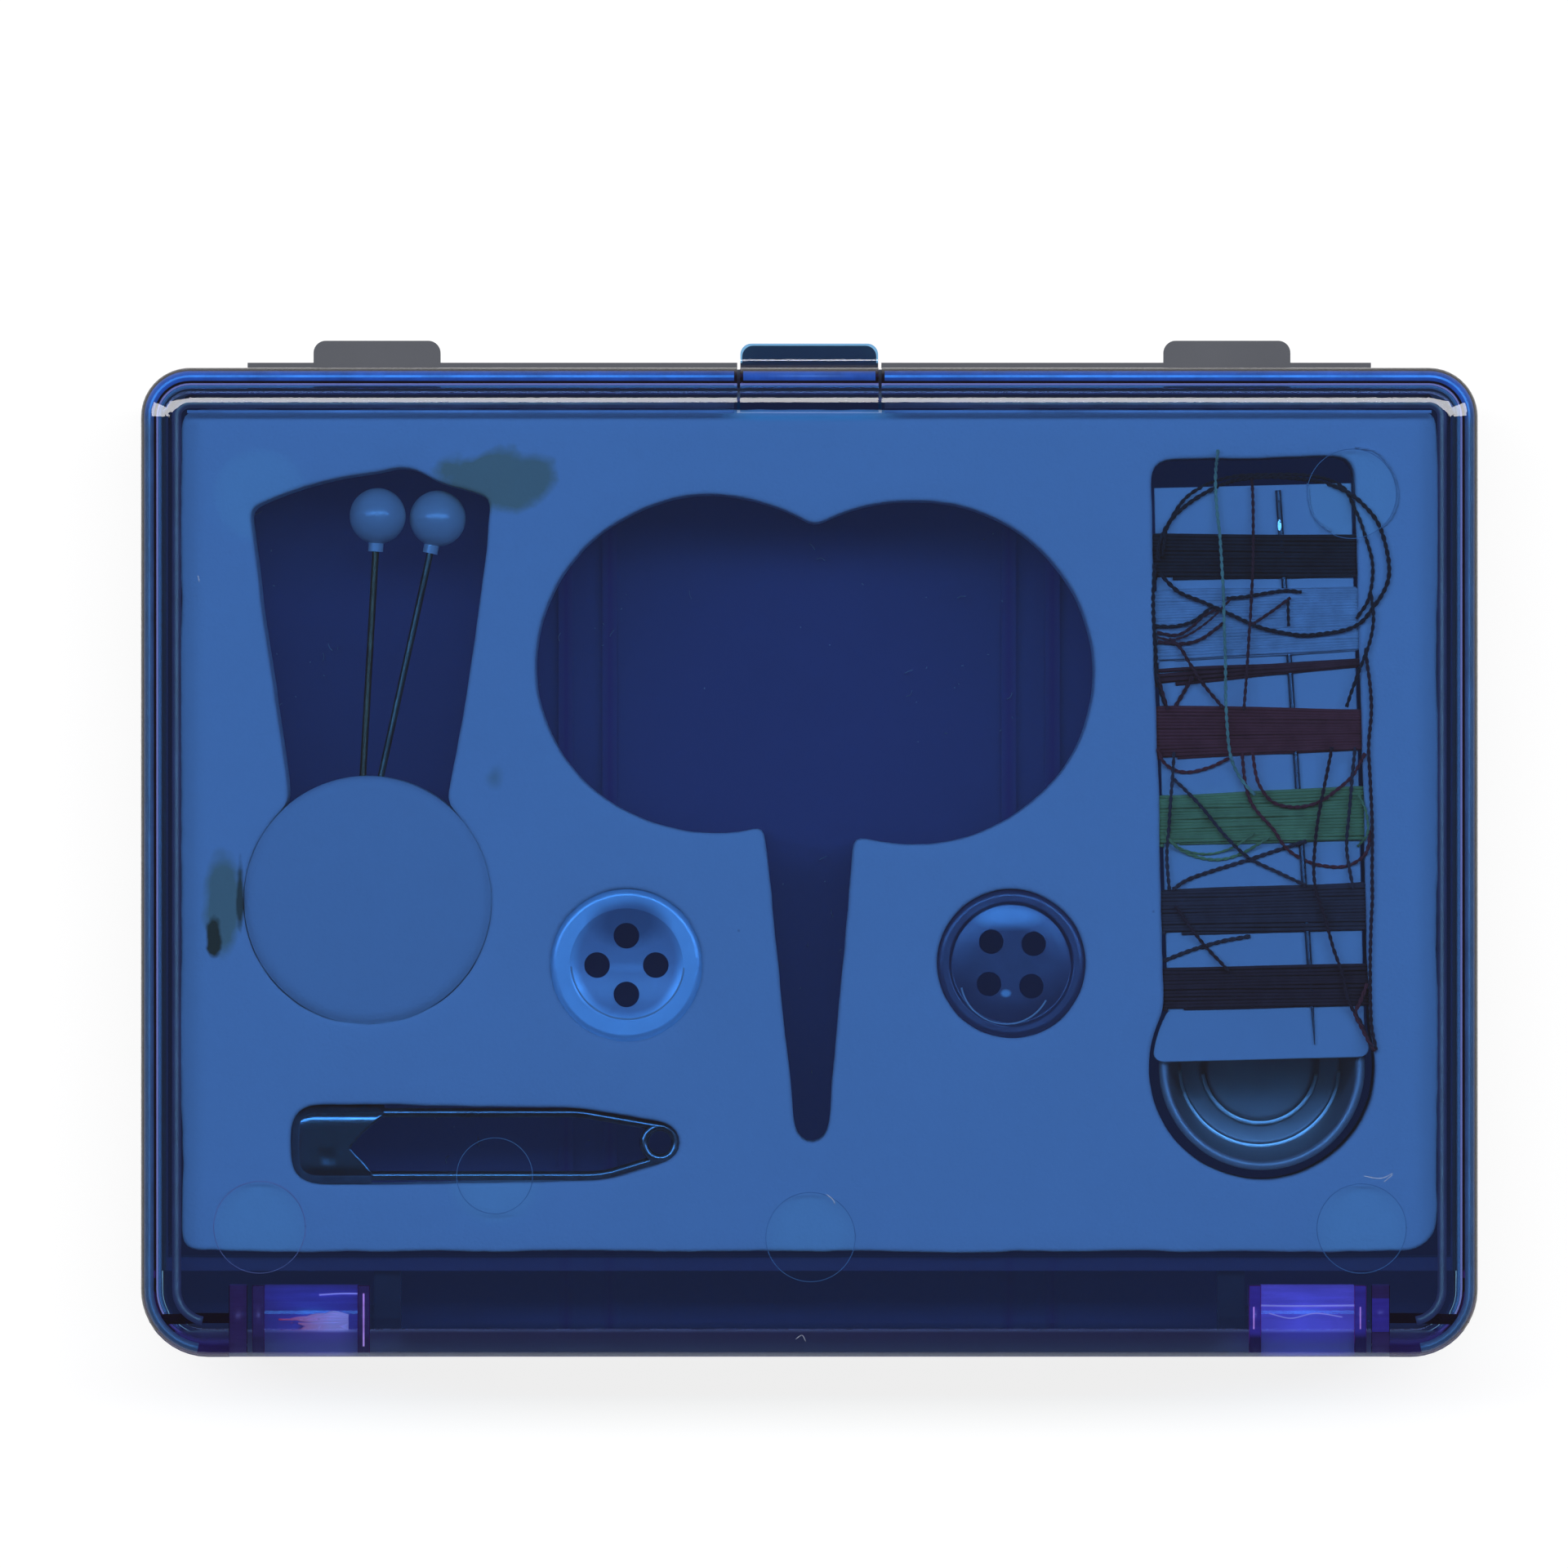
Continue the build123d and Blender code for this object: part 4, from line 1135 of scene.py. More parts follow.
def make_pearl(name, pale, deep, metal, rough, coat, swirl, piece=None, patches=()):
    """A pearly finish that swirls between two tones; swirl is the size of the swirls in mm."""
    material, tree, shader = start_material(
        name, pale, rough, Metallic=metal, Coat_Weight=coat, Coat_Roughness=0.2
    )
    place = object_place(tree)
    scale = 1 / (swirl * MM)
    drift = node(tree, "ShaderNodeTexNoise", Scale=scale, Detail=3.0, Distortion=1.6, Vector=place)
    tone = blend_colour(tree, drift.outputs[0], shade(pale), shade(deep))
    pearl = metal
    # Each patch paints light or shade into the tone, and takes some of the pearl's metal away.
    for (x, y), (reach_x, reach_y), ragged, edge, strength, colour, keeps in patches:
        middle = Vector(middle_of(*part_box(piece))) + Vector((x, y, 0)) * MM
        reach = (reach_x * MM, reach_y * MM, 1.0)
        patch = use_group(tree, stain, Place=place, Middle=middle, Reach=reach, Ragged=ragged, Edge=edge)
        share = times(tree, patch.outputs["Mask"], strength)
        tone = blend_colour(tree, share, tone, shade(colour))
        pearl = times(tree, pearl, maths(tree, "SUBTRACT", 1.0, times(tree, share, 1 - keeps)))
    if patches:
        tree.links.new(pearl, shader.inputs["Metallic"])
    give_tone(tree, shader, tone)
    grain = use_group(tree, fine_grain, Place=place, Cloud_Size=3.0, Grain_Size=0.15)
    spread = maths(tree, "ADD", rough - 0.05, times(tree, grain.outputs["Clouds"], 0.1))
    tree.links.new(spread, shader.inputs["Roughness"])
    give_bump(tree, shader, grain.outputs["Grain"], 0.05, 0.02)
    return material


ball_pearl = make_pearl("pearl ball", (0.77, 0.75, 0.7), (0.66, 0.65, 0.62), 0.0, 0.3, 0.7, 2.2)
button_pearl = make_pearl(
    "pearl button", (0.68, 0.86, 0.94), (0.56, 0.77, 0.88),
    0.22, 0.36, 0.4, 3.0, "button_pearl", pearl_light_and_shade,
)
button_slate = make_pearl(
    "slate button", (0.14, 0.12, 0.185), (0.09, 0.08, 0.13),
    0.22, 0.32, 0.42, 3.4, "button_grey", slate_highlights,
)
for name, material in (
    ("pin_head_left", ball_pearl),
    ("pin_head_right", ball_pearl),
    ("button_pearl", button_pearl),
    ("button_grey", button_slate),
):
    finish_node(name, material)
print("pearl finishes given")

# %% [markdown]
# ### Painted edge highlights
#
# The lower edge of the pearl button's dish and of the slate button's groove catches the lamp as a
# thin pale line. A hair-fine half ring in a pale finish, laid along the real top of each button,
# paints that highlight.

# %% Painted highlights along the buttons' edges
def top_of(name, x, y):
    """The height of a frame piece's top at a place, all in millimetres."""
    found, spot, _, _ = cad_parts[name].ray_cast(Vector((x, y, 60)) * MM, Vector((0, 0, -1)))
    return spot.z / MM if found else 0.0


def edge_highlight_line(button, middle, radius, start, end, thickness):
    """A pale line along a button's top, a painted highlight on an edge; angles in degrees."""
    line = []
    for x, y in arc(middle, radius, start, end, (end - start) // 3):
        line.append(Vector((x, y, top_of(button, x, y) - 0.02)))
    return tube(line, thickness, 8)


grey_highlight_line = edge_highlight_line("button_grey", (16.07, -9.53), 3.7, 191, 332, 0.085)
new_piece("button_grey_edge", *grey_highlight_line, ball_pearl, TRAY, "grey_button")
pearl_highlight_line = edge_highlight_line("button_pearl", (-14.85, -8.2), 4.62, 184, 355, 0.075)
new_piece("button_pearl_edge", *pearl_highlight_line, ball_pearl, TRAY, "pearl_button")
print("worn edges ready")

# %% [markdown]
# ## The card
#
# The card is plain white board, cut by a die. Its sides are straight, and its lower end flares out
# to fill the round of the thimble's well. The frame's card has its length and the straight part of
# its width, so the outline is drawn here. Paper is never one flat white: it has a faint cloud from
# its pulp and a very fine tooth, which the grain group gives.

# %% Card
def make_card():
    material, tree, shader = start_material("white card", (0.84, 0.84, 0.83), 0.75, Specular_IOR_Level=0.3)
    grain = use_group(tree, fine_grain, Place=object_place(tree), Cloud_Size=4.0, Grain_Size=0.12)
    pale, deep = (0.87, 0.87, 0.86), (0.79, 0.79, 0.78)
    give_tone(tree, shader, blend_colour(tree, grain.outputs["Clouds"], shade(pale), shade(deep)))
    give_bump(tree, shader, grain.outputs["Grain"], 0.12, 0.02)
    return material


card_low, card_high = box_mm("thread_card")
card_middle = Vector(middle_of(card_low, card_high))
card_tilt = radians(1.45)
card_half, card_reach = 8.05, 23.45
card_skin = (card_high[2] - card_low[2]) / 2
card_edge_round = 0.06
flare_centre, flare_radius = (-0.46, -24.05), 8.9
card_foot = [
    (-9.26, -22.75), (-9.2, -23.0), (-9.0, -23.25), (-8.7, -23.4), (-8.3, -23.45),
    (7.4, -23.45), (7.8, -23.4), (8.1, -23.25), (8.28, -23.0), (8.34, -22.75),
]


def on_card(x, y, z):
    """A point of the card's own frame, in the shared frame."""
    across = card_middle.x + x * cos(card_tilt) - y * sin(card_tilt)
    along = card_middle.y + x * sin(card_tilt) + y * cos(card_tilt)
    return Vector((across, along, card_middle.z + z))


def make_card_sheet():
    """The card: straight sides that flare out at the lower end to fill the thimble's round."""
    left = [(-card_half, card_reach), (-card_half, 0.0), *arc(flare_centre, flare_radius, 148, 169, 7)]
    right = [*arc(flare_centre, flare_radius, 9, 18, 3), (card_half, 0.0), (card_half, card_reach)]
    ring = [Vector(p) for p in left + card_foot + right]
    count = len(ring)
    normals = ring_normals(ring, True)
    straight = card_skin - card_edge_round
    levels = ((card_edge_round, card_skin), (0.0, straight), (0.0, -straight), (card_edge_round, -card_skin))
    points, faces = [], []
    for inset, height in levels:
        points += [on_card(p.x - n.x * inset, p.y - n.y * inset, height) for p, n in zip(ring, normals)]
    for level in range(len(levels) - 1):
        faces += band(level * count, (level + 1) * count, count)
    faces += [tuple(range(count)), tuple(range(4 * count - 1, 3 * count - 1, -1))]
    card = new_piece("card_sheet", points, faces, make_card(), TRAY, "white_card", smooth=False)
    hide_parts("thread_card")
    return card


card_sheet = make_card_sheet()
print("card sheet size (mm):", [round(v / MM, 2) for v in card_sheet.dimensions])

# %% [markdown]
# ## Finish: sewing thread
#
# Spun thread is matt, with a little fuzz that lightens its edges, and its dye is never even. The
# twist is real shape (see below), so the finish only needs a fine fibre grain, a drift of colour
# along the thread, and a trace of sheen for the fuzz.

# %% Thread colours
thread_dyes = {
    "thread_black": ((0.064, 0.052, 0.05), "black_thread"),
    "thread_white": ((0.8, 0.8, 0.78), "white_thread"),
    "thread_wine": ((0.27, 0.065, 0.06), "wine_thread"),
    "thread_maroon": ((0.5, 0.08, 0.07), "maroon_thread"),
    "thread_green": ((0.54, 0.6, 0.2), "green_thread"),
    "thread_navy": ((0.16, 0.096, 0.092), "navy_thread"),
    "thread_brown": ((0.14, 0.056, 0.055), "brown_thread"),
}
pale_green = (0.62, 0.74, 0.42)


def make_thread(name, colour):
    material, tree, shader = start_material(name, colour, 0.8, Specular_IOR_Level=0.1, Sheen_Weight=0.05)
    grain = use_group(tree, fine_grain, Place=object_place(tree), Cloud_Size=1.6, Grain_Size=0.07)
    pale = tuple(min(1.0, c * 1.35 + 0.012) for c in colour)
    give_tone(tree, shader, blend_colour(tree, grain.outputs["Clouds"], shade(pale), shade(colour, 0.62)))
    give_bump(tree, shader, grain.outputs["Grain"], 0.5, 0.03)
    return material


thread_finishes = {}
for name, (colour, slot) in thread_dyes.items():
    thread_finishes[name] = make_thread(slot.replace("_", " "), colour)
print("thread finishes:", len(thread_finishes))

# %% [markdown]
# ## The windings
#
# Each colour is one long thread wound round the card in two layers: out along the card and back
# over itself. So each winding is one long path, drawn as a tube. A wrap goes over the face, round
# the edge and back under, and a little noise keeps neighbours from lying like wire. Where the
# needle lies on the card the wraps ride up over it.

# %% How each winding lies
needle_low, needle_high = box_mm("needle")
needle_run = [(needle_low[0] + 0.25, needle_high[1]), (needle_high[0] - 0.2, needle_low[1])]
needle_lift, needle_reach = 0.26, 1.1
strand = 0.15
wrap_spacing = 2.05 * strand
# For each winding: how wide it is at the left and the right edge as a share of its own width, how
# far its right end lies above its left, how much its wraps stray, and how many share one layer.
wraps_of = {
    "thread_black": (0.96, 0.92, -0.35, 0.08, 1.12),
    "thread_white": (1.0, 0.9, 0.25, 0.14, 1.4),
    "thread_wine": (1.05, 0.5, 0.85, 0.12, 1.12),
    "thread_maroon": (0.98, 0.78, -0.15, 0.1, 1.15),
    "thread_green": (0.9, 1.0, 0.2, 0.14, 1.3),
    "thread_navy": (0.85, 0.95, 0.1, 0.15, 1.15),
    "thread_brown": (0.92, 0.95, 0.0, 0.1, 1.15),
}


print("windings:", len(wraps_of))

# %% Wraps round the card
def needle_bump(place):
    """How much higher a wrap lies where it crosses the needle."""
    (x0, y0), (x1, y1) = needle_run
    share = (place.y - y0) / (y1 - y0)
    off = place.x - (x0 + (x1 - x0) * share)
    return needle_lift * max(0.0, 1 - abs(off) / needle_reach) ** 1.5


def wrap_section():
    """One wrap's section as (side share, height share) pairs: over the face, then back below."""
    over = [(-1 + k / 6, 1.0) for k in range(1, 12)]
    right = [(1.0, cos(pi * k / 4)) for k in range(5)]
    under = [(1 - k / 2, -1.0) for k in range(1, 4)]
    left = [(-1.0, -cos(pi * k / 4)) for k in range(5)]
    return over + right + under + left


def winding_place(name):
    """Where a winding's middle lies along the card, and how wide it is."""
    low, high = box_mm(name)
    off = Vector(middle_of(low, high)) - card_middle
    width = (high[1] - low[1]) - 2 * card_half * sin(card_tilt)
    return off.y * cos(card_tilt) - off.x * sin(card_tilt), width


def winding_path(name, seed):
    left_share, right_share, slant, stray, close = wraps_of[name]
    place, width = winding_place(name)
    section = wrap_section()
    path = []
    for layer in range(2):
        wraps = max(2, round(close * (width - 0.3 * layer) / wrap_spacing))
        out = 0.12 + 0.14 * layer
        up = card_skin + strand * (1.05 + 1.75 * layer)
        for n in range(wraps):
            for k, (side, rise) in enumerate(section):
                share = (n + k / len(section)) / wraps
                if layer:
                    share = 1 - share
                across = (side + 1) / 2
                here = width * (left_share + (right_share - left_share) * across) * (share - 0.5)
                wobble = noise.noise(Vector((across * 1.7, share * 9 + layer * 5, seed)))
                y = place + here + slant * (across - 0.5) + stray * wobble
                reach = card_half + (out if abs(rise) < 0.99 else 0.0)
                spot = on_card(side * reach, y, up * rise)
                if rise > 0.5:
                    uneven_lift = 0.03 * noise.noise(Vector((across * 5, n * 0.9, seed + 3)))
                    spot.z += needle_bump(spot) + uneven_lift
                path.append(spot)
    return path


def make_winding(name, seed, ends):
    """A winding with its loose ends, as one piece that stands for the frame's own."""
    shape = join([tube(winding_path(name, seed), strand, 6), *ends])
    label = name.replace("thread_", "") + "_winding"
    piece = new_piece(label, *shape, thread_finishes[name], TRAY, thread_dyes[name][1])
    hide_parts(name)
    return piece


print("winding helpers ready")

# %% [markdown]
# ## Loose ends
#
# Wound thread never stays put: ends and loops have worked loose and lie flat on the card and the
# foam, pressed down by the lid. They belong to their windings, so they are made in the same
# object. Each is a two-ply twist: two thin tubes that turn round each other. A loose end is drawn
# in plan only. Its height comes from what is under it: it rests on windings, card or foam, and
# spans the gaps between them as a light thread does. One faded green end is paler than its
# winding, so it is a piece of its own.

# %% Laying a loose end over what is under it
winding_places = [winding_place(name) for name in thread_dyes]
band_rise = 0.72
ply = 0.105
twist_pitch = 1.25
lid_under = foam_top + 1.1
lid_gap = 0.05
slack_passes, slack = 60, 0.004
card_half_length = (card_high[1] - card_low[1]) / 2 - 0.2
card_slot_half, card_slot_end, well_drop = card_half + 0.35, card_half_length + 2.3, 3.0


def support(x, y):
    """The height of what lies under a place: a winding, the card, the foam, or a pocket."""
    dx, dy = x - card_middle.x, y - card_middle.y
    across = dx * cos(card_tilt) + dy * sin(card_tilt)
    along = dy * cos(card_tilt) - dx * sin(card_tilt)
    if abs(across) > card_slot_half or along > card_slot_end:
        return foam_top
    if abs(along) > card_half_length:
        return card_high[2] - well_drop
    for place, width in winding_places:
        if abs(along - place) < width / 2:
            return card_high[2] + band_rise
    return card_high[2]


def lay_over(plan, lift):
    """Gives a line in plan its heights: at least on its support, smoothed as a slack thread."""
    floor = [support(p.x, p.y) + 2 * ply + lift for p in plan]
    heights = list(floor)
    for _ in range(slack_passes):
        for k in range(1, len(heights) - 1):
            heights[k] = max(floor[k], (heights[k - 1] + heights[k + 1]) / 2 - slack)
    ceiling = lid_under - 2 * ply - lid_gap
    return [Vector((p.x, p.y, min(h, ceiling))) for p, h in zip(plan, heights)]


print("foam top and lid's underside (mm):", round(foam_top, 2), round(lid_under, 2))

# %% Two plies twisted round each other
def along_line(line, k):
    """The direction of a line at its point k."""
    return (line[min(k + 1, len(line) - 1)] - line[max(k - 1, 0)]).normalized()


def two_ply(line, seed, size):
    """Two thin tubes twisted round each other along a line."""
    travelled = [0.0]
    for a, b in zip(line, line[1:]):
        travelled.append(travelled[-1] + (b - a).length)
    up = Vector((0, 0, 1))
    parts = []
    for side in range(2):
        path = []
        for k, p in enumerate(line):
            across = along_line(line, k).cross(up).normalized()
            turn = 2 * pi * travelled[k] / twist_pitch + pi * side + seed
            path.append(p + (across * cos(turn) + up * sin(turn)) * size * 0.85)
        parts.append(tube(path, size, 5))
    return parts


def loose_end(corners, lift, size, seed):
    """A loose end through the given places in plan; size is the radius of one ply."""
    plan = smooth_line([(x, y, 0.0) for x, y in corners], 0.16)
    moved = []
    for k, p in enumerate(plan):
        along = along_line(plan, k)
        stray = 0.07 * noise.noise(Vector((k * 0.045, seed * 3.1, 0.5)))
        moved.append(p + Vector((-along.y, along.x, 0)) * stray)
    return two_ply(lay_over(moved, lift), seed, size)


print("loose end helpers ready")

# %% Places of the loose ends
black_loop = [
    (28.6, 23.6), (30.2, 22.1), (32.4, 21.2), (36.0, 19.5), (38.9, 18.7), (41.1, 18.6), (44.4, 19.2),
    (46.0, 20.7), (47.3, 23.4), (46.7, 27.1), (45.1, 29.3), (43.3, 30.6), (40.6, 31.3), (37.2, 31.5),
    (33.7, 30.9), (30.2, 28.7), (28.7, 26.4), (28.5, 24.6),
]
black_inner = [
    (44.7, 19.9), (45.7, 21.6), (46.0, 24.4), (45.3, 27.0), (44.5, 28.9), (43.4, 30.8), (40.4, 31.7),
    (34.6, 31.5), (31.1, 30.1), (29.3, 27.6), (28.8, 25.0),
]
black_side = [(45.9, 22.0), (46.1, 20.0), (45.8, 18.1), (45.0, 15.9), (43.9, 12.7)]
left_edge = [(28.2, 24.4), (28.1, 20.9), (28.3, 17.6), (28.4, 15.2), (29.1, 12.7)]
right_edge = [
    (45.4, 17.5), (45.9, 13.1), (45.7, 9.1), (45.9, 4.4), (46.0, -2.0), (45.8, -7.6), (45.9, -12.9),
    (46.3, -15.3),
]
black_short = [(28.3, 19.3), (30.0, 19.35), (31.5, 19.8), (33.0, 21.0)]
black_top = [(34.1, 21.6), (36.1, 21.8), (38.8, 22.2), (40.2, 22.1)]
black_drop = [(39.1, 21.6), (39.1, 20.4), (39.15, 19.3)]
wine_upper = [(28.4, 18.8), (30.0, 18.6), (31.2, 19.2), (32.2, 20.1), (33.5, 20.8)]
wine_lower = [(28.5, 18.0), (30.7, 17.9), (32.1, 18.3), (33.8, 19.5)]
wine_third = [(28.4, 18.4), (29.6, 18.2), (31.0, 18.6), (32.6, 19.7), (34.4, 21.5)]
wine_cross = [(29.4, 18.3), (30.3, 17.5), (31.05, 16.3), (32.2, 14.6), (33.8, 12.7)]
wine_return = [(31.3, 15.2), (30.7, 14.1), (29.9, 12.7)]
wine_up = [(36.1, 19.4), (37.6, 20.4), (39.3, 21.6)]
wine_upright = [(36.2, 31.4), (36.3, 27.6), (36.15, 23.1), (35.95, 18.6), (35.7, 15.1), (35.5, 12.4)]
wine_side = [(28.4, 15.4), (28.8, 14.0), (29.3, 12.5)]
maroon_small = [(28.5, 9.3), (28.9, 8.3), (29.8, 7.6), (31.1, 7.4), (32.8, 7.8), (34.3, 8.5)]
maroon_deep = [
    (36.2, 9.0), (36.5, 7.2), (36.9, 6.1), (37.9, 4.9), (39.7, 4.5), (41.6, 4.9), (43.1, 5.9), (44.4, 7.1),
    (45.4, 8.9),
]
maroon_long = [
    (35.3, 9.0), (35.6, 6.4), (36.3, 4.5), (37.9, 2.7), (38.8, 1.4), (39.9, 0.5), (41.6, -0.2), (43.8, -0.3),
    (45.4, 0.7), (45.8, 2.6),
]
maroon_tail = [(45.6, -9.9), (45.0, -11.4), (44.6, -12.3), (45.0, -13.2), (45.9, -14.9), (46.2, -15.4)]
green_long = [
    (33.35, 33.7), (33.2, 32.3), (33.2, 30.8), (33.35, 28.6), (33.55, 26.6), (33.75, 23.4), (33.9, 20.2),
    (34.0, 16.5), (34.0, 13.1), (34.15, 10.8), (34.4, 8.8), (34.9, 7.5), (35.6, 6.4), (36.4, 5.5),
]
green_fray = [(29.0, 2.6), (29.8, 1.4), (31.4, 0.55), (33.4, 0.25), (35.4, 0.8), (37.6, 2.1)]
green_wisp = [(29.2, 2.0), (30.6, 1.0), (32.6, 0.7), (34.6, 1.2), (36.4, 2.4)]
green_side = [(44.9, 5.6), (45.5, 4.1), (45.6, 2.4), (44.8, 1.3)]
navy_left = [(29.8, 9.0), (29.6, 5.9), (29.4, 3.1), (29.2, 0.6), (29.4, -2.2)]
navy_down = [(29.8, 6.8), (32.0, 4.6), (34.0, 2.1), (35.9, 0.3), (38.2, -0.8), (40.6, -1.9)]
navy_up = [(29.7, -2.2), (31.2, -1.3), (34.6, -0.2), (37.1, 0.6), (39.3, 1.3), (40.6, 1.7)]
navy_right = [(44.6, 9.4), (44.3, 6.1), (43.9, 1.9), (44.1, -0.4), (44.4, -2.2)]
navy_back = [(28.9, -8.1), (31.2, -7.2), (33.6, -6.5), (36.0, -6.0)]
brown_long = [
    (42.7, 9.4), (42.1, 6.2), (41.5, 3.1), (41.2, -0.3), (41.4, -2.3), (42.1, -4.4), (42.8, -6.9),
    (43.5, -8.9), (44.1, -11.4), (45.2, -13.3), (46.0, -15.4),
]
brown_cross = [(29.9, -3.6), (31.2, -5.4), (32.4, -6.9), (34.3, -8.9)]
white_ring = [(44.6, 33.9), (46.3, 33.5), (47.6, 31.9), (48.1, 30.0), (47.6, 28.3), (46.6, 27.2)]
white_hook = [(40.7, 31.0), (40.9, 29.2), (41.4, 28.0), (42.6, 27.0)]
print("places along the black loop:", len(black_loop))

# %% The loose ends of each winding
# For each loose end: its places, how far it is lifted, and the radius of one ply.
loose_ends = {
    "thread_black": [
        (black_loop, 0.16, ply), (black_inner, 0.02, 0.09), (black_side, 0.3, 0.09), (left_edge, 0.0, ply),
        (black_short, 0.14, 0.09), (black_top, 0.2, 0.09), (black_drop, 0.2, 0.08),
    ],
    "thread_white": [(white_ring, -0.05, 0.06), (white_hook, -0.05, 0.06)],
    "thread_wine": [
        (wine_upper, 0.1, 0.08), (wine_lower, 0.0, 0.09), (wine_third, 0.2, 0.06), (wine_cross, 0.2, 0.09),
        (wine_return, 0.0, ply), (wine_up, 0.2, 0.08), (wine_upright, 0.3, 0.08), (wine_side, 0.0, 0.08),
    ],
    "thread_maroon": [
        (maroon_small, 0.1, 0.09), (maroon_deep, 0.14, 0.09), (maroon_long, 0.0, 0.09),
        (maroon_tail, 0.2, ply),
    ],
    "thread_green": [(green_fray, 0.0, 0.08), (green_wisp, 0.06, 0.06), (green_side, 0.1, 0.07)],
    "thread_navy": [
        (navy_left, 0.1, 0.09), (navy_down, 0.16, 0.09), (navy_up, 0.0, ply), (navy_right, 0.1, 0.09),
        (navy_back, 0.0, ply),
    ],
    "thread_brown": [(brown_long, 0.26, 0.09), (brown_cross, 0.12, 0.09), (right_edge, 0.2, 0.09)],
}
for seed, name in enumerate(thread_dyes):
    ends = []
    for number, (corners, lift, size) in enumerate(loose_ends[name]):
        ends.extend(loose_end(corners, lift, size, seed + number * 0.7))
    piece = make_winding(name, seed * 11.0 + 2.5, ends)
    print(piece.name, "faces:", len(piece.data.polygons))

pale_finish = make_thread("faded green thread", pale_green)
faded_end = join(loose_end(green_long, 0.36, 0.085, 2.2))
new_piece("green_loose_end", *faded_end, pale_finish, TRAY, "green_thread")
print("loose ends:", sum(len(ends) for ends in loose_ends.values()) + 1)

# %% [markdown]
# ## Inside the hinge barrels
#
# The lid turns on the tray's two stubs, and its barrels are the thickest plastic on the box. Dye
# this deep gathers light from every side and glows violet. A path tracer can't gather that light
# in a few samples, so a violet core stands inside each barrel, and thin violet webs lie under the
# top plate over the barrel's brackets and the cheek beside it. The clear blue plastic over them
# does the rest. Fine lines along each barrel stand for the edges that pipe the light out, and the
# left one, which the lamp strikes, has a flame-shaped streak that turns from red to violet.

# %% Finish: violet glow
fade_start, fade_run, rear_level = -38.2, 0.5, 0.12
left_glow_start, left_glow_run = -43.5, 4.5


def make_violet(name, colour, glow, rear_share=1.0, left_colour=None):
    """A glow that fades to rear_share behind the barrel; left_colour is its tone at the left end."""
    material, tree, shader = start_material(name, colour, 0.25, Emission_Strength=glow)
    place = object_place(tree)
    marks = use_group(tree, drawn_metal, Place=place, Stretch=(0.25, 2.2, 2.2))
    grain = use_group(tree, fine_grain, Place=place, Cloud_Size=2.6, Grain_Size=0.4)
    deep = shade(colour, 0.35)
    tone = blend_colour(tree, marks.outputs["Streaks"], deep, shade(colour))
    tone = blend_colour(tree, times(tree, grain.outputs["Clouds"], 0.7), tone, deep)
    x, y, _ = object_axes(tree)
    if left_colour:
        across = ramp(tree, x, left_glow_start * MM, left_glow_run * MM)
        tone = blend_colour(tree, across, shade(left_colour), tone)
    behind = ramp(tree, y, fade_start * MM, -fade_run * MM)
    tone = blend_colour(tree, times(tree, behind, 1 - rear_share), tone, shade(colour, rear_level))
    give_tone(tree, shader, tone, "Emission Color")
    return material


core_colour = (0.8, 0.2, 0.95)
core_violet = make_violet("violet glow", core_colour, 0.9, 0.0)
dim_core_violet = make_violet("violet glow dim", core_colour, 0.26, 0.5)
web_violet = make_violet("violet web", (0.07, 0.05, 0.36), 1.0, 0.0)
dim_web_violet = make_violet("violet web dim", (0.05, 0.035, 0.14), 1.0, 0.5)
cheek_violet = make_violet("cheek glow", (0.05, 0.03, 0.12), 1.0)
rosy_glint = make_violet("rosy glint", (1.0, 0.5, 0.9), 1.1, 1.0, (0.7, 0.03, 0.1))
violet_glint = make_violet("violet glint", (1.0, 0.5, 1.0), 1.2)
print("glow finishes ready")

# %% Cores and webs of the two barrels
hinge_y, hinge_z = -37.2, 13.0
barrel_radius = 2.65
core_skin = 0.07
barrel_reach = (35.95, 45.45)
bracket_width = 0.9
cheek_reach = (45.95, 47.35)
plate_under, web_thickness = 20.38, 0.08
# How much lower the cheek's web lies, and how far it runs past the barrel, to the rear and the front.
cheek_drop, cheek_rear, cheek_front = 0.2, 0.3, 0.15
front_face, rear_face = hinge_y + barrel_radius - 0.05, hinge_y - barrel_radius + 0.05


def core_rod(x0, x1, radius, steps=64):
    """A short round bar along X on the hinge axis."""
    points = []
    for x in (x0, x1):
        for k in range(steps):
            turn = 2 * pi * k / steps
            points.append((x, hinge_y + radius * cos(turn), hinge_z + radius * sin(turn)))
    return points, [*band(0, steps, steps), tuple(range(steps - 1, -1, -1)), tuple(range(steps, 2 * steps))]


def web(side, reach, y0, y1, top=plate_under):
    """A thin flat plate under the lid's inner face, on one side of the box."""
    x0, x1 = sorted(side * v for v in reach)
    corners = ((x0, y0), (x1, y0), (x1, y1), (x0, y1))
    points = [(x, y, z) for z in (top - web_thickness, top) for x, y in corners]
    return points, [(3, 2, 1, 0), (4, 5, 6, 7), *band(0, 4, 4)]


def make_barrel_glow(word, side, core_finish, web_finish, extra=()):
    x0, x1 = sorted(side * v for v in barrel_reach)
    lid_piece(word + "_barrel_core", core_rod(x0, x1, barrel_radius - core_skin), core_finish)
    inner, outer = barrel_reach
    brackets = ((inner, inner + bracket_width), (outer - bracket_width, outer))
    webs = [web(side, reach, rear_face, front_face) for reach in brackets]
    lid_piece(word + "_barrel_webs", join([*webs, *extra]), web_finish)
    cheek_ends = rear_face - cheek_rear, front_face + cheek_front
    cheek = web(side, cheek_reach, *cheek_ends, plate_under - cheek_drop)
    lid_piece(word + "_barrel_cheek_glow", cheek, cheek_violet)


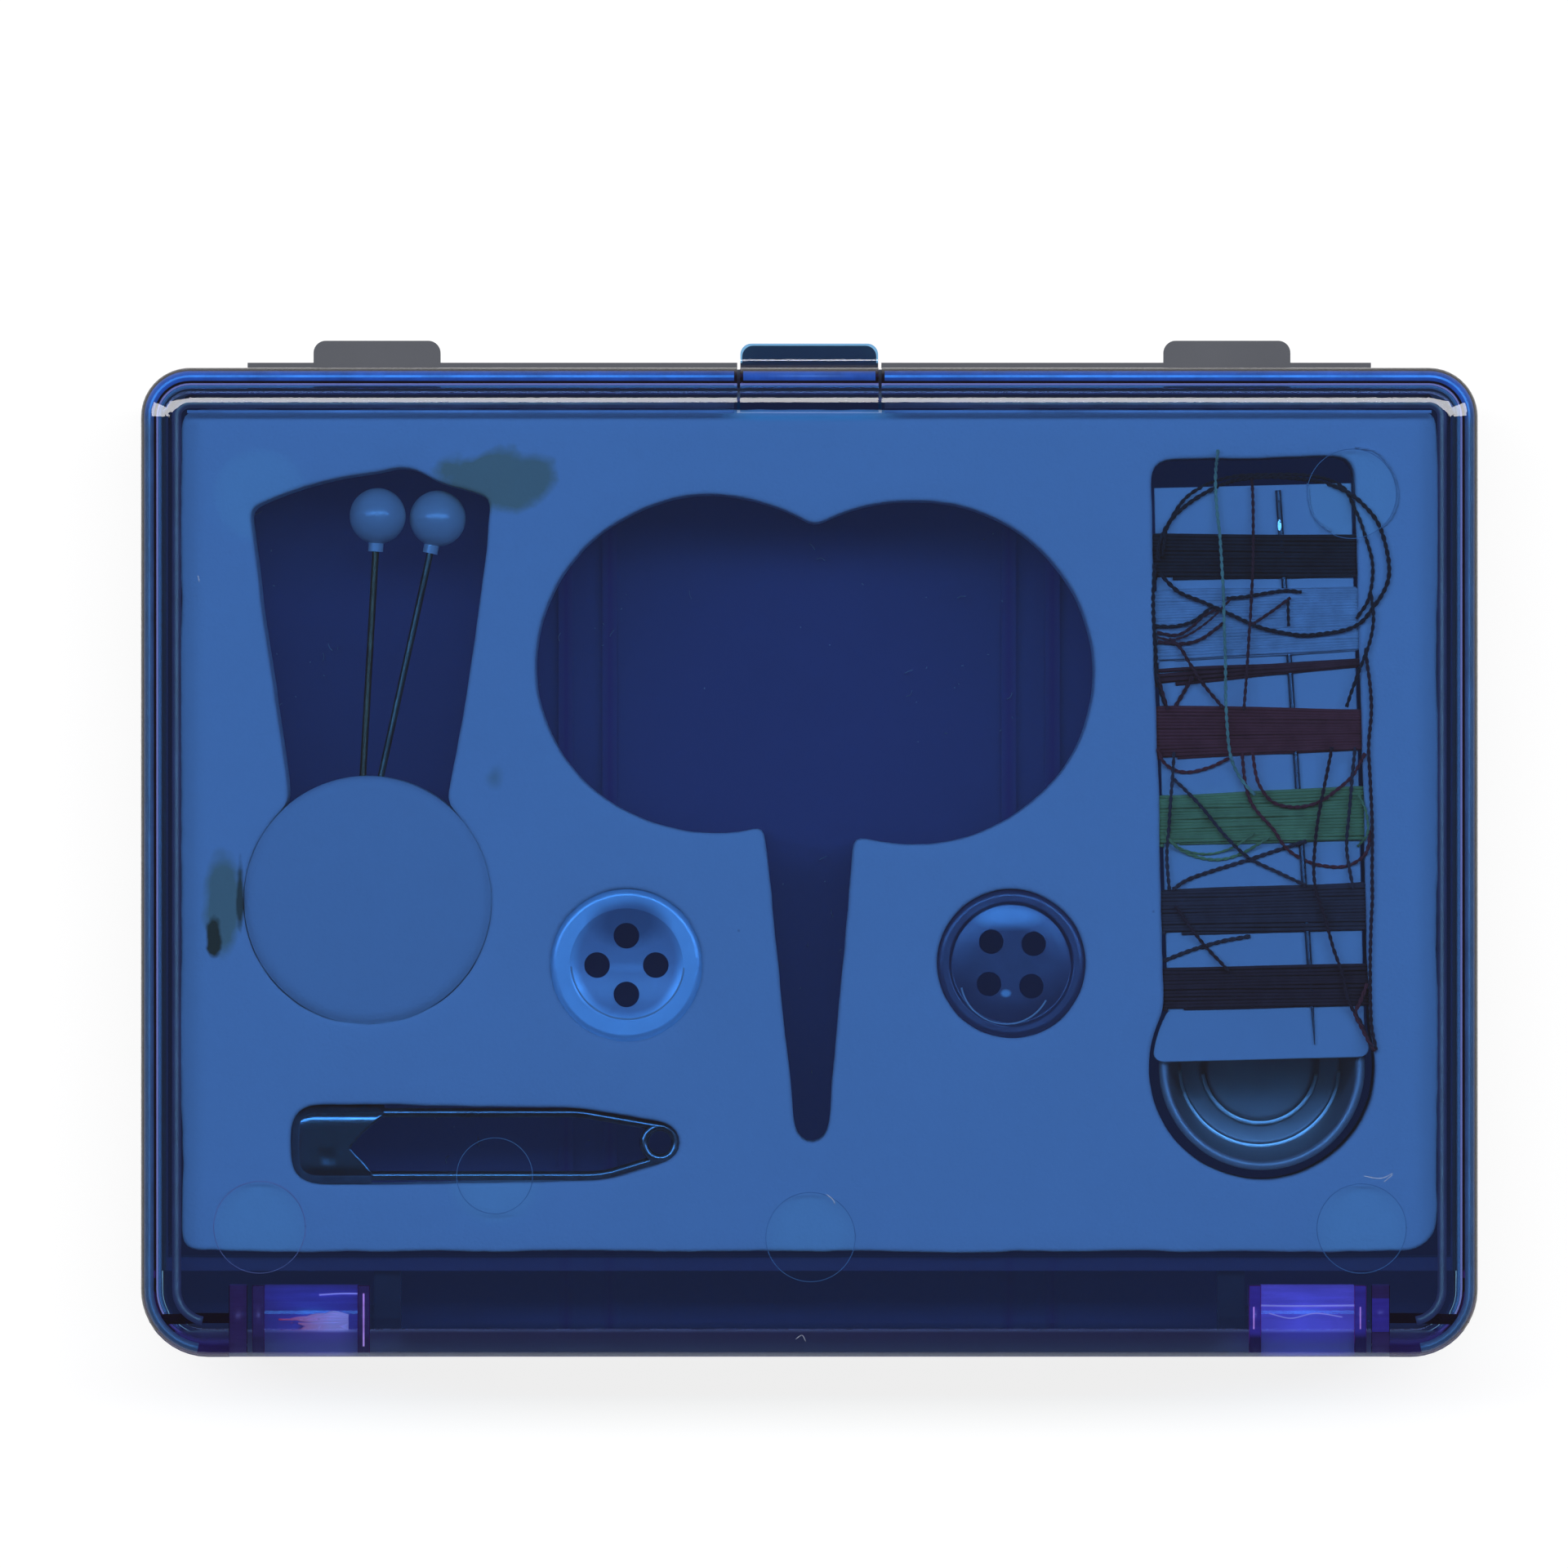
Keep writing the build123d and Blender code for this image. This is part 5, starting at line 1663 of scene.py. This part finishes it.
make_barrel_glow("left", -1, dim_core_violet, dim_web_violet)
bright_cheek = web(1, cheek_reach, hinge_y - 1.0, hinge_y + 1.6)
make_barrel_glow("right", 1, core_violet, web_violet, [bright_cheek])
print("barrel cores ready")

# %% Lines of light along the barrels
def barrel_line(corners, size, lift=0.0, sides=6):
    """A thin line along the barrel's skin through the given places in plan."""
    outer = barrel_radius + lift
    line = []
    for p in smooth_line([(x, y, 0.0) for x, y in corners], 0.25):
        line.append(Vector((p.x, p.y, hinge_z + (outer**2 - (p.y - hinge_y) ** 2) ** 0.5)))
    return tube(line, size, sides)


def web_line(x, places, size):
    """A thin line along a web, through places on Y."""
    return tube([Vector((x, y, plate_under)) for y in places], size, 6)


# The left barrel's flame-shaped streak: strands that start one after another and end together.
flame = [
    (-43.4, -37.4, 0.07), (-42.4, -37.25, 0.11), (-41.4, -37.05, 0.13), (-41.8, -37.5, 0.13),
    (-40.2, -36.85, 0.12), (-40.6, -37.72, 0.12), (-39.6, -37.9, 0.1),
]
strands = []
for x, y, size in flame:
    places = [(x, -37.4), (x + 1.0, y), (-38.6, y), (-37.7, 0.5 * (y - 37.35))]
    strands.append(barrel_line(places, size, 0.02, 8))
left_outline = [
    barrel_line([(-40.1, -35.4), (-38.4, -35.3), (-36.9, -35.3)], 0.07),
    barrel_line([(-43.2, -39.3), (-40.0, -39.4), (-36.9, -39.4)], 0.06),
    web_line(-36.4, (-35.2, -37.2, -39.4), 0.08),
]
right_glint = [
    barrel_line([(36.4, -36.25), (40.0, -36.3), (45.0, -36.25)], 0.075, 0.01),
    barrel_line([(36.6, -38.0), (38.5, -38.15), (41.5, -38.1), (44.6, -38.0)], 0.06, 0.01),
    barrel_line([(37.6, -36.9), (39.4, -37.3), (41.4, -36.9), (43.6, -37.2)], 0.05, 0.01),
    web_line(36.3, (-36.3, -37.2, -38.0), 0.07),
    web_line(45.0, (-36.3, -37.2, -38.0), 0.06),
]
lid_piece("left_barrel_glint", join(strands), rosy_glint)
lid_piece("left_barrel_outline", join(left_outline), violet_glint)
lid_piece("right_barrel_glint", join(right_glint), violet_glint)
print("barrel lines ready")

# %% [markdown]
# ## The glow inside the lid's rim
#
# Light that enters a dyed plastic wall runs along inside it and comes out at its edge, which is
# why the rim of such a lid shines brighter than its middle. As with the barrels, fine lines set
# just under the rim's skin stand for that light: a broad blue one with a bright glint above it, a
# darker one where the crown meets the flat, and a pale one over the foam's front edge. They are
# brightest along the latch side, which faces the lamp, and stop at the latch's notch and before
# the hinge. Slow patches keep them from looking like wire.

# %% Finish: rim glow
front_start, front_run = 35.5, 3.0
patch_start, patch_gain = 0.3, 1.8


def make_glow(name, front_tone, side_tone, patch_size):
    """A glowing finish: one tone along the front wall, another along the sides, in patches."""
    material, tree, shader = start_material(name, front_tone, 0.4, Emission_Strength=1.0)
    _, y, _ = object_axes(tree)
    front = ramp(tree, y, front_start * MM, front_run * MM)
    patches = node(
        tree, "ShaderNodeTexNoise",
        Scale=1 / (patch_size * MM), Detail=4.0, Roughness=0.65, Vector=object_place(tree),
    )
    share = ramp(tree, patches.outputs[0], patch_start, 1 / patch_gain)
    bright = blend_colour(tree, front, shade(side_tone), shade(front_tone))
    dim = blend_colour(tree, front, shade(side_tone, 0.55), shade(front_tone, 0.45))
    give_tone(tree, shader, blend_colour(tree, share, dim, bright), "Emission Color")
    return material


rim_violet = make_glow("inner rim glow", (0.024, 0.036, 0.09), (0.019, 0.025, 0.075), 2.8)
rim_blue = make_glow("rim glow", (0.02, 0.085, 0.36), (0.028, 0.055, 0.13), 2.4)
rim_bright = make_glow("rim glint", (0.065, 0.25, 0.78), (0.035, 0.08, 0.2), 3.1)
rim_pale = make_glow("foam edge glow", (0.065, 0.15, 0.36), (0.065, 0.15, 0.36), 5.0)
print("rim finishes ready")

# %% Lines of light in the rim
lid_half = (54.6, 40.4)
front_corner, rear_corner = 4.0, 5.5
notch_half = 6.15
foam_edge_y = 36.8
# Each line is (name, how far inside the wall, height, radius, sides, finish), in millimetres.
rim_lines = [
    ("rim_glow", 0.85, 20.45, 0.36, 10, rim_blue),
    ("rim_glint", 0.8, 20.85, 0.1, 6, rim_bright),
    ("inner_glow", 2.95, 21.15, 0.36, 10, rim_violet),
]


def rim_half(side, inset, height):
    """A line inside the lid's wall, from the latch's notch round one side to the hinge."""
    x, y = lid_half[0] - inset, lid_half[1] - inset
    front_round, rear_round = front_corner - inset, rear_corner - inset
    line = [(notch_half, y), (20, y), (35, y)]
    line += arc((x - front_round, y - front_round), front_round, 90, 0, 10)
    line += [(x, 20.0), (x, 0.0), (x, -20.0)]
    line += arc((x - rear_round, rear_round - y), rear_round, 0, -80, 10)
    return [Vector((side * px, py, height)) for px, py in line]


for side, word in ((-1, "left"), (1, "right")):
    for label, inset, height, radius, sides, finish in rim_lines:
        lid_piece(word + "_" + label, tube(rim_half(side, inset, height), radius, sides), finish)
    foam_edge = [Vector((side * x, foam_edge_y, 21.2)) for x in (notch_half, 30.0, 50.8)]
    lid_piece(word + "_foam_edge_glow", tube(foam_edge, 0.13, 6), rim_pale)
tongue_line = [Vector((x, 39.55, 20.45)) for x in (-5.4, 0.0, 5.4)]
new_piece("latch_glow", *tube(tongue_line, 0.34, 10), rim_blue, LATCH, "clear_blue_plastic")
print("rim glow ready")

# %% [markdown]
# ## Ejector marks
#
# Round pins pushed the lid out of its mould, and each left a thin raised ring on its inner face.
# What shows is the light that the ring scatters, so they are drawn as fine rings in a pale
# blue-grey, hardly thicker than a hair, and a little uneven as a worn pin leaves them.

# %% Ejector rings
ejector_rings = [
    (-44.9, -29.8, 3.75), (0.1, -30.6, 3.65), (45.1, -29.9, 3.65), (-25.7, -25.6, 3.1), (44.3, 30.1, 3.65)
]
ring_steps, ring_unevenness = 96, 0.03


def make_speckled(name, colour, roughness, scale, deep, pale):
    """A plain finish that drifts between a deep and a pale tone; scale is in waves per mm."""
    material, tree, shader = start_material(name, colour, roughness)
    drift = node(tree, "ShaderNodeTexNoise", Scale=scale / MM, Detail=1.0, Vector=object_place(tree))
    give_tone(tree, shader, blend_colour(tree, drift.outputs[0], shade(deep), shade(pale)))
    return material


ring_finish = make_speckled("ejector mark", (0.42, 0.5, 0.6), 0.35, 0.22, (0.2, 0.25, 0.34), (0.62, 0.7, 0.8))
ring_parts = []
for number, (x, y, radius) in enumerate(ejector_rings):
    line = []
    for k in range(ring_steps + 1):
        turn = 2 * pi * k / ring_steps
        reach = radius + ring_unevenness * noise.noise(Vector((cos(turn), sin(turn), number)))
        line.append(Vector((x + reach * cos(turn), y + reach * sin(turn), lid_under - 0.01)))
    ring_parts.append(tube(line, 0.032, 5))
lid_piece("ejector_rings", join(ring_parts), ring_finish)
print("ejector rings:", len(ejector_rings))

# %% [markdown]
# ## Lint, dust and scratches
#
# An old kit is never clean. Bits of lint lie in the pockets and on the foam, and the lid's top has
# a few hairline scratches. They are tiny, but they give the dark pockets their scale.

# %% Lint
lint_finish = make_speckled("lint", (0.5, 0.55, 0.6), 0.9, 0.9, (0.1, 0.1, 0.14), (0.62, 0.6, 0.6))
pick = random.Random(11)
# Each pocket is (x, y, reach across, reach along, how many bits).
pockets = [
    (-20, 18, 5, 4, 9), (14, 18, 6, 9, 18), (-2, 20, 8, 6, 7), (-42, 20, 4, 10, 14),
    (0.2, -8, 2.5, 10, 8), (-24, -23, 7, 2.2, 6),
]
lint_height = 2.42
lint_parts = []
for x, y, reach_x, reach_y, count in pockets:
    for _ in range(count):
        spot = Vector((x + pick.uniform(-1, 1) * reach_x, y + pick.uniform(-1, 1) * reach_y, lint_height))
        length = pick.choice((0.06, 0.09, 0.12, 0.35))
        turn = pick.uniform(0, pi)
        across = Vector((cos(turn), sin(turn), 0)) * length
        bend = Vector((-sin(turn), cos(turn), 0)) * length * pick.uniform(-0.5, 0.5)
        line = smooth_line([spot - across, spot + bend, spot + across], 0.08)
        lint_parts.append(tube(line, pick.uniform(0.025, 0.05), 5))
new_piece("pocket_lint", *join(lint_parts), lint_finish, TRAY, "white_foam")
print("bits of lint:", len(lint_parts))

# %% Scratches
lid_top = 22.0
scratches = [
    [(1.4, -27.1), (1.9, -27.5), (2.1, -27.9)],
    [(45.3, -25.6), (46.6, -25.8), (47.6, -25.4)],
    [(46.9, -26.1), (47.6, -25.5)],
    [(-1.1, -38.9), (-0.6, -38.6), (-0.3, -39.1)],
    [(-49.9, 23.4), (-49.8, 22.9)],
]
scratch_parts = []
for corners in scratches:
    line = smooth_line([(x, y, lid_top) for x, y in corners], 0.15)
    scratch_parts.append(tube(line, 0.02, 5))
lid_piece("lid_scratches", join(scratch_parts), ring_finish)
print("scratches:", len(scratches))

# %% [markdown]
# ## The white ground
#
# A floor that is lit only by the lamp would come out pale grey, so the floor also glows a little,
# but only for what the camera sees directly or through the plastic or in a reflection. The
# object's light isn't changed by it, and its soft shadow stays.

# %% Floor
floor_size, floor_gap, floor_glow = 8.0, 0.02, 0.84


def make_floor():
    bpy.ops.mesh.primitive_plane_add(size=floor_size, location=(0, 0, -floor_gap * MM))
    floor = bpy.context.object
    floor.name = "white_ground"
    material, tree, shader = start_material("white ground", (0.2, 0.2, 0.2), 0.9, Specular_IOR_Level=0.0)
    rays = node(tree, "ShaderNodeLightPath").outputs
    seen = maths(tree, "MAXIMUM", rays["Is Camera Ray"], rays["Is Glossy Ray"])
    seen = maths(tree, "MAXIMUM", seen, rays["Is Transmission Ray"])
    glow = node(tree, "ShaderNodeEmission", Color=(1, 1, 1, 1), Strength=times(tree, seen, floor_glow))
    both = node(tree, "ShaderNodeAddShader")
    tree.links.new(shader.outputs[0], both.inputs[0])
    tree.links.new(glow.outputs[0], both.inputs[1])
    tree.links.new(both.outputs[0], tree.nodes["Material Output"].inputs["Surface"])
    floor.data.materials.append(material)


make_floor()
print("floor ready")

# %% [markdown]
# ## The light
#
# One long soft lamp stands a little toward the latch side, about 14 degrees off straight above. It
# draws the thin pale line along the lid's rounded front edge and throws short shadows into the
# pockets. The sky is pale at the horizon and dim overhead, so the flat lid mirrors something dark
# and stays clear to look through, while its sides still have something bright to show. The lamp
# is in metres and watts.

# %% World and lamp
# The sky's strength overhead, what the horizon adds, and what its latch side adds to that.
sky_overhead, horizon_adds, latch_side_adds = 0.08, 0.1, 0.5
latch_side_falloff, horizon_falloff = 1.5, 2.0


def make_world():
    world = bpy.data.worlds.new("studio")
    bpy.context.scene.world = world
    world.use_nodes = True
    tree = world.node_tree
    tree.nodes.clear()
    direction = node(tree, "ShaderNodeTexCoord").outputs["Generated"]
    toward = node(tree, "ShaderNodeSeparateXYZ", Vector=direction)
    low = maths(tree, "SUBTRACT", 1.0, maths(tree, "ABSOLUTE", toward.outputs["Z"]), clamp=True)
    front = times(tree, maths(tree, "ADD", toward.outputs["Y"], 1.0), 0.5)
    front = times(tree, maths(tree, "POWER", front, latch_side_falloff), latch_side_adds)
    horizon = times(tree, maths(tree, "ADD", horizon_adds, front), maths(tree, "POWER", low, horizon_falloff))
    level = maths(tree, "ADD", sky_overhead, horizon)
    rays = node(tree, "ShaderNodeLightPath")
    level = maths(tree, "MAXIMUM", level, rays.outputs["Is Camera Ray"])
    sky = node(tree, "ShaderNodeBackground", Strength=level, Color=(1, 1, 1, 1))
    output = tree.nodes.new("ShaderNodeOutputWorld")
    tree.links.new(sky.outputs[0], output.inputs["Surface"])


def make_lamp(name, target, tilt, distance, size, power):
    """An area lamp that faces target, tilted from straight above toward +Y by so many degrees."""
    data = bpy.data.lights.new(name, "AREA")
    data.shape = "RECTANGLE"
    data.size, data.size_y = size
    data.energy = power
    lamp = bpy.data.objects.new(name, data)
    bpy.context.collection.objects.link(lamp)
    turn = Matrix.Rotation(radians(-tilt), 4, "X")
    lamp.matrix_world = Matrix.Translation(target) @ turn @ Matrix.Translation((0, 0, distance))


make_world()
make_lamp("key lamp", Vector((0, 0, 0.02)), 14, 1.0, (2.2, 0.21), 16.6)
print("lamp ready")

# %% Update the scene
bpy.context.view_layer.update()
